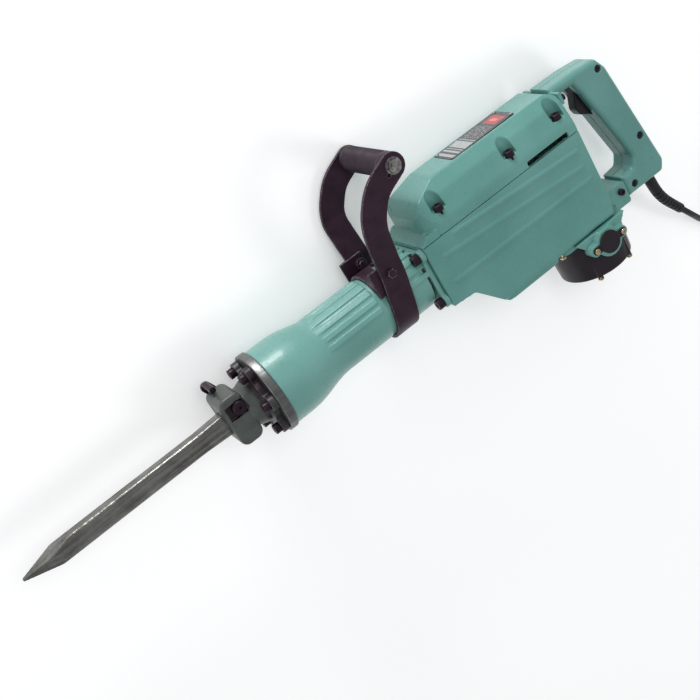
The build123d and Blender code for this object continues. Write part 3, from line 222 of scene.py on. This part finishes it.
def black_steel(name, base, worn_colour, wear=1.0, rough=(0.32, 0.55)):
    """Blacked or painted steel, rubbed bright along its edges."""
    look = Look(name, metallic=0.2, specular=0.22)
    cloud = look.span(look.noise(48, 4, 0.6), 0.3, 0.7)
    colour = look.mix(cloud, base, tuple(c * 1.7 for c in base))
    rubbed = look.sum(look.edges(0.0011), look.span(look.noise(150, 4, 0.7), 0.38, 0.6), "MULTIPLY")
    colour = look.mix(look.sum(rubbed, 0.85 * wear, "MULTIPLY"), colour, worn_colour)
    look.bump(look.noise(340, 3), 0.00012, 0.8)
    return look.finish(colour, look.span(cloud, 0.0, 1.0, rough[0], rough[1]))


def moulded(name, base, rough=(0.38, 0.52), grain=700, coat=0.0):
    """Moulded plastic or rubber with a fine grain and a trace of dust."""
    look = Look(name, coat=coat, coat_roughness=0.2, specular=0.25)
    cloud = look.span(look.noise(30, 4, 0.6), 0.3, 0.7)
    colour = look.mix(cloud, base, tuple(c * 1.5 + 0.003 for c in base))
    scuffed = tuple(c * 3 + 0.03 for c in base)
    colour = look.mix(look.sum(look.edges(0.0008), 0.35, "MULTIPLY"), colour, scuffed)
    look.bump(look.noise(grain, 3, 0.6), 0.00012, 0.8)
    return look.finish(colour, look.span(look.noise(90, 3), 0.3, 0.7, rough[0], rough[1]))


def plated(name, light, dark, rough=(0.16, 0.34)):
    """Zinc, nickel or brass with fine tarnish."""
    look = Look(name, metallic=1.0)
    tarnish = look.span(look.noise(230, 4, 0.65), 0.35, 0.7)
    colour = look.mix(tarnish, light, dark)
    look.bump(look.noise(900, 2), 0.00004, 0.8)
    return look.finish(colour, look.span(tarnish, 0.0, 1.0, rough[0], rough[1]))


GREEN_LIGHT, GREEN_DARK = (0.118, 0.292, 0.262), (0.080, 0.228, 0.202)
green = enamel("green_enamel", GREEN_LIGHT, GREEN_DARK, 1.0)
green_barrel = enamel("green_enamel_barrel", (0.150, 0.335, 0.300), (0.105, 0.268, 0.238), 1.9)
green_handle = enamel("green_enamel_handle", (0.122, 0.288, 0.260), (0.086, 0.230, 0.206), 0.6)


def front_casting():
    """Grey-green cast steel, with painted plum-black shade in the lever's recess and painted shade round the
    flange's bolts.
    """
    look = Look("dark_casting", metallic=0.25, specular=0.35)
    cloud = look.span(look.noise(42, 4, 0.6), 0.3, 0.7)
    colour = look.mix(cloud, (0.058, 0.066, 0.060), (0.095, 0.108, 0.100))
    plum = (0.022, 0.012, 0.019)
    # painted shade: the lever's recess is coloured plum-black
    recess = look.within((-59, 5, 20.5), (-28, 30, 27.4), 0.6)
    # painted shade: the flange is darkened towards plum-black in noisy patches
    flange = look.within((-14, -70, -70), (1, 70, 70), 5)
    flange_shade = look.sum(look.span(look.noise(26, 3, 0.6), 0.35, 0.6, 0.35, 1.0), flange, "MULTIPLY")
    colour = look.mix(look.sum(recess, flange_shade, "MAXIMUM"), colour, plum)
    rubbed = look.sum(look.edges(0.0014), look.span(look.noise(130, 4, 0.7), 0.35, 0.6), "MULTIPLY")
    colour = look.mix(look.sum(rubbed, 0.6, "MULTIPLY"), colour, (0.34, 0.38, 0.36))
    look.bump(look.noise(210, 4, 0.65), 0.00035, 0.8)
    return look.finish(colour, look.span(cloud, 0.0, 1.0, 0.30, 0.50))


cast_dark = front_casting()
bolt_black = black_steel("bolt_black", (0.014, 0.007, 0.012), (0.12, 0.09, 0.11), 0.6, (0.24, 0.42))
strap_black = black_steel("strap_black", (0.024, 0.0115, 0.0205), (0.42, 0.40, 0.38), 1.0, (0.34, 0.52))
ring_steel = bare_steel("ring_steel", (0.24, 0.245, 0.24), (0.10, 0.10, 0.10), 0, (0.34, 0.48))
bit_steel = bare_steel("bit_steel", (0.30, 0.30, 0.28), (0.065, 0.060, 0.055), 0, (0.24, 0.46), 1.6, 1.0)
inner_steel = bare_steel("inner_steel", (0.55, 0.55, 0.54), (0.30, 0.30, 0.30), 0)
zinc = plated("bright_zinc", (0.46, 0.45, 0.43), (0.10, 0.095, 0.09), (0.2, 0.42))
brass = plated("brass", (0.80, 0.66, 0.42), (0.42, 0.33, 0.18))
copper = plated("copper", (0.78, 0.42, 0.28), (0.36, 0.18, 0.12))
plum_plastic = moulded("black_plastic", (0.009, 0.0055, 0.0085), (0.26, 0.40), 700, 0.1)
black_rubber = moulded("black_rubber", (0.020, 0.0105, 0.0175), (0.42, 0.58), 500)
cord_rubber = moulded("cord_rubber", (0.012, 0.012, 0.013), (0.34, 0.46), 900)
core_steel = black_steel("core_steel", (0.10, 0.08, 0.06), (0.35, 0.30, 0.25), 0.5)
carbon = moulded("carbon", (0.03, 0.03, 0.03), (0.5, 0.65), 900)


def nameplate_look():
    """A printed aluminium plate: a dark field, pale bars and a red block, with no lettering."""
    low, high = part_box("nameplate")
    look = Look("nameplate", metallic=0.55, coat=0.5, coat_roughness=0.12)
    split = look.tree.nodes.new("ShaderNodeSeparateXYZ")
    look.put(look.place, split.inputs["Vector"])
    x = look.span(split.outputs["X"], low.x, high.x)
    z = look.span(split.outputs["Z"], low.z, high.z)
    ink, paper, red = (0.022, 0.014, 0.018), (0.42, 0.43, 0.43), (0.45, 0.035, 0.035)

    def between(value, start, end):
        over_start = look.sum(value, start, "GREATER_THAN")
        return look.sum(over_start, look.sum(value, end, "LESS_THAN"), "MULTIPLY")

    def block(x0, x1, z0, z1):
        return look.sum(between(x, x0, x1), between(z, z0, z1), "MULTIPLY")

    colour = look.mix(look.span(look.noise(60, 3), 0.3, 0.7, 0.0, 0.4), ink, tuple(c * 2.5 for c in ink))
    for x0, x1 in ((0.035, 0.085), (0.125, 0.16), (0.185, 0.20), (0.225, 0.36), (0.385, 0.40)):
        colour = look.mix(block(x0, x1, 0.06, 0.94), colour, paper)
    rows = look.sum(look.sum(z, 9.0, "MULTIPLY"), 1.0, "MODULO")
    speckle = look.span(look.noise(420, 3), 0.5, 0.56)
    small_print = look.sum(look.sum(between(rows, 0.25, 0.72), block(0.42, 0.70, 0.10, 0.90), "MULTIPLY"),
                           speckle, "MULTIPLY")
    colour = look.mix(small_print, colour, paper)
    colour = look.mix(block(0.74, 0.92, 0.18, 0.82), colour, red)
    colour = look.mix(block(0.80, 0.86, 0.34, 0.66), colour, tuple(c * 1.6 + 0.1 for c in red))
    look.bump(look.noise(500, 2), 0.00004, 0.6)
    return look.finish(colour, look.span(look.noise(120, 3), 0.3, 0.7, 0.22, 0.36))


# ---- piece helpers -----------------------------------------------------------------------
def piece(name, mesh, body, material, slot, *stands_for):
    """A new piece on a body, in place of the named CAD nodes."""
    obj = bpy.data.objects.new(name, mesh)
    bpy.context.scene.collection.objects.link(obj)
    mesh.materials.clear()
    mesh.materials.append(material)
    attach(obj, body)
    if stands_for:
        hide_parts(*stands_for)
    return obj


def baked(obj):
    """Fix an object's modifiers in its mesh."""
    graph = bpy.context.evaluated_depsgraph_get()
    mesh = bpy.data.meshes.new_from_object(obj.evaluated_get(graph))
    bpy.data.objects.remove(obj)
    return mesh


def shade(mesh, angle=35):
    """Smooth shading that keeps edges over an angle sharp."""
    mesh.shade_smooth()
    mesh.set_sharp_from_angle(angle=math.radians(angle))
    return mesh


MOST_FACES = 90000


def soft_form(node, voxel, rounds):
    """A CAD node's form with the rounded edges that casting or forging leaves."""
    source = bpy.data.objects.new("form", frame["nodes"][node].data.copy())
    bpy.context.scene.collection.objects.link(source)
    remesh = source.modifiers.new("remesh", "REMESH")
    remesh.mode = "VOXEL"
    remesh.voxel_size = voxel * MM
    smooth = source.modifiers.new("smooth", "SMOOTH")
    smooth.factor = 0.5
    smooth.iterations = rounds
    mesh = baked(source)
    faces = 2 * len(mesh.polygons)
    if faces > MOST_FACES:
        source = bpy.data.objects.new("form", mesh)
        bpy.context.scene.collection.objects.link(source)
        thin = source.modifiers.new("thin", "DECIMATE")
        thin.ratio = MOST_FACES / faces
        mesh = baked(source)
    return mesh


def cast(node, material, slot, voxel=1.0, rounds=3, sharp=60):
    """Replace a CAD node by its soft form."""
    body = frame["nodes"][node]["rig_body"]
    return piece(node + "_cast", shade(soft_form(node, voxel, rounds), sharp), body, material, slot, node)


WELD_REACH = 0.00001
EDGE_ANGLE = 40


def finish_node(name, material, bevel=0.0):
    """Give a CAD node its material and, if asked, broken edges."""
    obj = frame["nodes"][name]
    obj.data.materials.clear()
    obj.data.materials.append(material)
    if bevel:
        weld = obj.modifiers.new("weld", "WELD")
        weld.merge_threshold = WELD_REACH
        edge = obj.modifiers.new("edge", "BEVEL")
        edge.width = bevel * MM
        edge.segments = 2
        edge.limit_method = "ANGLE"
        edge.angle_limit = math.radians(EDGE_ANGLE)
        edge.harden_normals = True


ON_AXIS = 1e-7


def lathe(profile, steps=64):
    """A mesh turned about the local Z axis from (radius, height) points."""
    form = bmesh.new()
    rings = []
    turns = [2 * math.pi * k / steps for k in range(steps)]
    for radius, height in profile:
        if radius < ON_AXIS:
            rings.append([form.verts.new((0, 0, height))])
            continue
        rings.append([form.verts.new((radius * math.cos(turn), radius * math.sin(turn), height))
                      for turn in turns])
    for low, high in zip(rings, rings[1:]):
        for k in range(steps):
            nxt = (k + 1) % steps      # the modulo below turns a point on the axis into a whole ring
            corners = [low[k % len(low)], low[nxt % len(low)],
                       high[nxt % len(high)], high[k % len(high)]]
            form.faces.new(list(dict.fromkeys(corners)))
    bmesh.ops.recalc_face_normals(form, faces=form.faces)
    mesh = bpy.data.meshes.new("lathe")
    form.to_mesh(mesh)
    form.free()
    return mesh


def placed(mesh, point, direction):
    """Move a mesh from the local Z axis to a point and a direction."""
    turn = Vector(direction).to_track_quat("Z", "Y").to_matrix().to_4x4()
    mesh.transform(Matrix.Translation(point) @ turn)
    return mesh


# ---- camera, light and floor -------------------------------------------------------------
CAMERA_PLACE = at(-277.9, 685.1, 1518.4)
CAMERA_RIGHT = (0.76493, -0.47876, 0.43090)
CAMERA_UP = (0.59888, 0.77491, -0.20214)
CAMERA_BACK = (-0.23713, 0.41268, 0.87947)
camera_data = bpy.data.cameras.new("camera")
camera_data.sensor_width = 36.0
camera_data.lens = 66.27
camera_data.clip_end = 20.0
camera = bpy.data.objects.new("camera", camera_data)
camera.matrix_world = Matrix.Translation(CAMERA_PLACE) @ Matrix(
    (CAMERA_RIGHT, CAMERA_UP, CAMERA_BACK)).transposed().to_4x4()
bpy.context.scene.collection.objects.link(camera)
bpy.context.scene.camera = camera


TOOL_MIDDLE = at(250, 10, 0)


def softbox(name, right, up, back, size, power, glossy=True):
    """A square light facing the tool's middle, its place in metres along the camera's axes."""
    data = bpy.data.lights.new(name, "AREA")
    data.energy = power
    data.size = size
    away = right * Vector(CAMERA_RIGHT) + up * Vector(CAMERA_UP) + back * Vector(CAMERA_BACK)
    facing = away.to_track_quat("Z", "Y").to_matrix().to_4x4()
    lamp = bpy.data.objects.new(name, data)
    lamp.matrix_world = Matrix.Translation(TOOL_MIDDLE + away) @ facing
    lamp.visible_glossy = glossy
    bpy.context.scene.collection.objects.link(lamp)


softbox("key", -1.0, 1.9, 1.2, 0.8, 46)
softbox("front", 0.5, 0.2, 2.7, 1.2, 14, glossy=False)
softbox("side", 2.1, -0.4, 0.9, 0.7, 9, glossy=False)
softbox("low", -1.6, -1.5, 1.0, 0.8, 7)

world = bpy.data.worlds.new("studio")
world.use_nodes = True
world.node_tree.nodes["Background"].inputs["Color"].default_value = (0.97, 0.98, 1.0, 1.0)
world.node_tree.nodes["Background"].inputs["Strength"].default_value = 0.5
bpy.context.scene.world = world
bpy.context.scene.view_settings.view_transform = "Standard"

FLOOR_HALF = 6.0
floor_corners = [(a * FLOOR_HALF, b * FLOOR_HALF, 0) for a, b in ((-1, -1), (1, -1), (1, 1), (-1, 1))]
floor_mesh = bpy.data.meshes.new("floor")
floor_mesh.from_pydata(floor_corners, [], [(0, 1, 2, 3)])
floor = bpy.data.objects.new("floor", floor_mesh)
bpy.context.scene.collection.objects.link(floor)
paper = Look("floor_paper")
paper.shader.inputs["Emission Color"].default_value = (1.0, 1.0, 1.0, 1.0)
paper.shader.inputs["Emission Strength"].default_value = 0.22
paper_tone = paper.mix(paper.noise(3, 2), (0.93, 0.93, 0.93), (0.95, 0.95, 0.95))
floor_mesh.materials.append(paper.finish(paper_tone, 0.85))

# ---- cord: the same route as the design's, then four layers of four turns and the plug ----
CORD_R = 4.75
FLOOR_Z = -74.0
LIE = FLOOR_Z + CORD_R
COIL_X, COIL_Y = 862.0, -250.0
COIL_TURN_R, COIL_LAYERS, TURNS_WIDE = 52.0, 4, 4
OUTER_R = COIL_TURN_R + (TURNS_WIDE - 1) * CORD_R
INNER_R = COIL_TURN_R - (TURNS_WIDE - 1) * CORD_R
ENTER, LEAVE = -103.8, 20.0
PLUG_Z, BOOT_START = FLOOR_Z + 17.0, 82.0
TOP_TURN = LIE + (COIL_LAYERS - 1) * 2 * CORD_R
POINTS_A_TURN = 16
FLAT_SHARE = 0.15      # of the turn between two layers, the part before it climbs


def on_coil(angle, height, ahead=0.0, radius=OUTER_R):
    """A point on a turn of the coil, or ahead of it along its tangent."""
    turn = math.radians(angle)
    return (COIL_X + radius * math.cos(turn) - ahead * math.sin(turn),
            COIL_Y + radius * math.sin(turn) + ahead * math.cos(turn), height)


armor_route = [(652, -99, 0), (652.5, -112, 0), (660, -146, -4), (688, -185, -14)]
lead_route = [(705.7, -209.7, -20.3), (730, -240, -40), (764, -273, -60), on_coil(ENTER, LIE, -44)]
tail_route = [on_coil(LEAVE, TOP_TURN - 4, 32), on_coil(LEAVE, PLUG_Z, 62),
              on_coil(LEAVE, PLUG_Z, BOOT_START)]


def coil_points():
    """The wound turns: each layer spirals in or out, and the next lies on it."""
    spiral = TURNS_WIDE - 1
    total = COIL_LAYERS * TURNS_WIDE - 1 + (LEAVE - ENTER) / 360
    hold = (total - COIL_LAYERS * spiral) / (COIL_LAYERS - 1)
    points = []
    steps = round(total * POINTS_A_TURN)
    flat = hold * FLAT_SHARE
    for k in range(steps + 1):
        turned = total * k / steps
        layer = min(COIL_LAYERS - 1, int(turned / (spiral + hold)))
        within = turned - layer * (spiral + hold)
        share = min(1.0, within / spiral)
        inward = layer % 2 == 0
        radius = OUTER_R + (INNER_R - OUTER_R) * (share if inward else 1 - share)
        climbing = layer < COIL_LAYERS - 1
        rise = max(0.0, (within - spiral - flat) / (hold - flat)) if climbing else 0.0
        points.append(on_coil(ENTER + 360 * turned, LIE + (layer + rise) * 2 * CORD_R, 0.0, radius))
    return points


def spline_curve(name, route, radius):
    """A round curve object with one smooth open spline."""
    curve = bpy.data.curves.new(name, "CURVE")
    curve.dimensions = "3D"
    curve.bevel_depth = radius * MM
    curve.bevel_resolution = 5
    curve.resolution_u = 4
    curve.use_fill_caps = True
    spline = curve.splines.new("NURBS")
    spline.points.add(len(route) - 1)
    for point, place in zip(spline.points, route):
        point.co = (*at(*place), 1.0)
    spline.order_u = 3
    spline.use_endpoint_u = True
    obj = bpy.data.objects.new(name, curve)
    bpy.context.scene.collection.objects.link(obj)
    return obj


def centreline(obj):
    """The points along a curve object's own line, in the row frame."""
    bare = obj.data.copy()
    bare.bevel_depth = 0.0
    probe = bpy.data.objects.new("probe", bare)
    bpy.context.scene.collection.objects.link(probe)
    mesh = baked(probe)
    return [v.co.copy() for v in mesh.vertices]


mains_cord = spline_curve("mains_cord", armor_route + lead_route + coil_points() + tail_route, CORD_R)
mains_cord.data.materials.append(cord_rubber)
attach(mains_cord, "hammer_body")
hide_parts("cord", "cord_coil")
cord_line = centreline(mains_cord)


def tube_along(line, radii, steps=40):
    """A closed tube whose radius changes along a line of points."""
    form = bmesh.new()
    rings = []
    side_way = Vector((0, 0, 1))
    for k, (point, radius) in enumerate(zip(line, radii)):
        way = (line[min(k + 1, len(line) - 1)] - line[max(k - 1, 0)]).normalized()
        across = way.cross(side_way).normalized()
        over = across.cross(way)
        rings.append([form.verts.new(point + (across * math.cos(2 * math.pi * j / steps)
                                              + over * math.sin(2 * math.pi * j / steps)) * radius)
                      for j in range(steps)])
    for low, high in zip(rings, rings[1:]):
        for j in range(steps):
            form.faces.new((low[j], low[(j + 1) % steps], high[(j + 1) % steps], high[j]))
    form.faces.new(rings[0])
    form.faces.new(rings[-1])
    bmesh.ops.recalc_face_normals(form, faces=form.faces)
    mesh = bpy.data.meshes.new("tube")
    form.to_mesh(mesh)
    form.free()
    return mesh


def resampled(line, spacing):
    """Points a set distance apart along a line."""
    result, rest = [line[0]], 0.0
    for a, b in zip(line, line[1:]):
        length = (b - a).length
        while rest + length >= spacing and length > 0:
            step = spacing - rest
            a = a + (b - a) * (step / length)
            length -= step
            rest = 0.0
            result.append(a)
        rest += length
    return result


SLEEVE_LENGTH, SLEEVE_STEP = 100.0, 0.5
COLLAR_R, COLLAR_LENGTH = 10.0, 4
SLEEVE_R, SLEEVE_TAPER = 8.7, 1.3
GROOVES_FROM, GROOVES_TO, GROOVE_PITCH, GROOVE_WIDTH, GROOVE_DEPTH = 30, 94, 8, 2.5, 1.1
LIP_LENGTH, LIP_DEPTH = 2, 0.5


def sleeve_radius(along):
    """The sleeve's radius: a collar, a taper with grooves round it, and a thin lip."""
    radius = SLEEVE_R - SLEEVE_TAPER * along / SLEEVE_LENGTH
    if along < COLLAR_LENGTH:
        radius = COLLAR_R
    elif GROOVES_FROM < along < GROOVES_TO and (along % GROOVE_PITCH) < GROOVE_WIDTH:
        radius -= GROOVE_DEPTH
    elif along > SLEEVE_LENGTH - LIP_LENGTH:
        radius -= LIP_DEPTH
    return radius * MM


sleeve_line = resampled(cord_line, SLEEVE_STEP * MM)[:int(SLEEVE_LENGTH / SLEEVE_STEP)]
sleeve_radii = [sleeve_radius(index * SLEEVE_STEP) for index in range(len(sleeve_line))]
sleeve_mesh = shade(tube_along(sleeve_line, sleeve_radii), 50)
sleeve = piece("cord_sleeve", sleeve_mesh, "hammer_body", cord_rubber, "cord_rubber", "cord_armor")

plug_way = Vector(on_coil(LEAVE, 0, 1)) - Vector(on_coil(LEAVE, 0))
plug_back = at(*on_coil(LEAVE, PLUG_Z, BOOT_START))
BOOT_RIBS, BOOT_PITCH, BOOT_FLARE = 6, 4.0, 0.4

# (radius, height) from the cord's end to the face that carries the pins
plug_profile = [(0.0, 0), (6.6, 0), (7.0, 0.6)]
for rib in range(BOOT_RIBS):
    start, wider = 2 + rib * BOOT_PITCH, rib * BOOT_FLARE
    plug_profile += [(7.2 + wider, start), (7.3 + wider, start + 2.4), (6.0 + wider, start + 2.6),
                     (6.0 + wider, start + 3.8)]
plug_profile += [(12.0, 26.5), (15.0, 31), (16.6, 36.5), (16.8, 44), (16.8, 51.5), (16.2, 53.4),
                 (14.8, 54), (0.0, 54)]
plug_mesh = placed(lathe([(r * MM, h * MM) for r, h in plug_profile]), plug_back, plug_way)
plug_body = piece("plug_body", shade(plug_mesh, 40), "hammer_body", cord_rubber, "cord_rubber", "plug")
pins = bmesh.new()
PIN = [(0.0, 53.5), (2.4, 53.5), (2.4, 71), (2.1, 72.3), (1.3, 72.9), (0.0, 73)]
PIN_OFFSET = 9.5
for sign in (1, -1):
    pin_place = plug_back + Vector((0, 0, sign * PIN_OFFSET * MM))
    pins.from_mesh(placed(lathe([(r * MM, h * MM) for r, h in PIN], 32), pin_place, plug_way))
pins_mesh = bpy.data.meshes.new("pins")
pins.to_mesh(pins_mesh)
pins.free()
plug_pins = piece("plug_pins", shade(pins_mesh), "hammer_body", brass, "brass_screws")

# ---- castings ------------------------------------------------------------------------------
cast("crank_case", green, "green_enamel", 1.0, 3)
cast("gear_cover", green, "green_enamel", 0.9, 4)
cast("barrel_case", green_barrel, "green_enamel", 1.0, 2)
cast("motor_housing", green, "green_enamel", 0.8, 3)
cast("handle_half_near", green_handle, "handle_enamel", 0.9, 2)
cast("handle_half_far", green_handle, "handle_enamel", 0.9, 2)
cast("front_cover", cast_dark, "dark_casting", 0.8, 3)
cast("stop_lever", bolt_black, "black_steel", 0.5, 2)
cast("side_handle_strap", strap_black, "black_steel", 0.7, 2)
cast("handle_saddle", strap_black, "black_steel", 0.7, 2)
cast("tail_cover", plum_plastic, "black_plastic", 0.8, 2)
cast("brush_caps", plum_plastic, "black_plastic", 0.45, 2)
cast("trigger", plum_plastic, "black_plastic", 0.5, 2)
cast("bull_point", bit_steel, "forged_steel", 0.7, 2)

# ---- side grip: fine ribs round a rubber sleeve, with plain ends; lengths here in metres ----
grip_low, grip_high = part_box("side_grip")
GRIP_MIDDLE = (grip_low + grip_high) / 2
GRIP_R = (grip_high.y - grip_low.y) / 2
GRIP_HALF = (grip_high.z - grip_low.z) / 2
RIB_PITCH, RIB_DEPTH, PLAIN_END = 0.0027, 0.0007, 0.010
BORE_R = 0.0064
RIB_SHAPE = ((0.12, 1.0), (0.38, 1.0), (0.55, 0.15), (0.75, 0.0), (0.95, 0.15))  # shares of pitch and depth
grip_profile = [(BORE_R, -GRIP_HALF), (GRIP_R - 0.0022, -GRIP_HALF), (GRIP_R - 0.0006, -GRIP_HALF + 0.0012),
                (GRIP_R, -GRIP_HALF + 0.003), (GRIP_R, -GRIP_HALF + PLAIN_END)]
ribs = int(2 * (GRIP_HALF - PLAIN_END) / RIB_PITCH)
for rib in range(ribs):
    start = -GRIP_HALF + PLAIN_END + rib * RIB_PITCH
    for share, depth in RIB_SHAPE:
        grip_profile.append((GRIP_R - RIB_DEPTH * depth, start + share * RIB_PITCH))
grip_profile += [(GRIP_R, GRIP_HALF - PLAIN_END), (GRIP_R, GRIP_HALF - 0.003),
                 (GRIP_R - 0.0006, GRIP_HALF - 0.0012), (GRIP_R - 0.0022, GRIP_HALF), (BORE_R, GRIP_HALF)]
grip_profile.append(grip_profile[0])
grip_mesh = shade(placed(lathe(grip_profile, 96), GRIP_MIDDLE, (0, 0, 1)), 60)
piece("side_grip_ribbed", grip_mesh, "side_handle", black_rubber, "grip_rubber", "side_grip")

# ---- CAD nodes that keep their form --------------------------------------------------------
BEVELLED = {
    "front_cover_bolts": (bolt_black, 0.35), "gear_cover_bolts": (bolt_black, 0.35),
    "barrel_bolts": (bolt_black, 0.35), "handle_mount_bolts": (bolt_black, 0.3),
    "saddle_bolts": (strap_black, 0.3), "grip_bolt": (zinc, 0.3), "front_ring": (ring_steel, 0.4),
    "handle_screws": (bolt_black, 0.2), "brush_cap_screws": (brass, 0.15), "tail_cover_screws": (brass, 0.15),
    "motor_housing_screws": (brass, 0.15), "nameplate_rivets": (zinc, 0.0),
    "nameplate": (nameplate_look(), 0.15), "switch_body": (plum_plastic, 0.3), "trigger_pin": (zinc, 0.2),
}
INNER = {
    inner_steel: ["hex_bushing", "hammer_holder", "second_hammer", "cylinder", "striker", "piston",
                  "piston_pin", "connecting_rod", "crank_shaft", "final_gear", "crank_bearings",
                  "intermediate_bearings", "intermediate_shaft", "intermediate_gear", "armature_shaft",
                  "motor_bearings", "brush_spring_near", "brush_spring_far"],
    core_steel: ["armature_core", "stator"], copper: ["commutator"],
    carbon: ["brush_near", "brush_far"], plum_plastic: ["brush_holders", "cooling_fan"],
    black_rubber: ["damper_ring"],
}
for node_name, (look_material, edge_width) in BEVELLED.items():
    finish_node(node_name, look_material, edge_width)
for look_material, node_names in INNER.items():
    for node_name in node_names:
        finish_node(node_name, look_material)
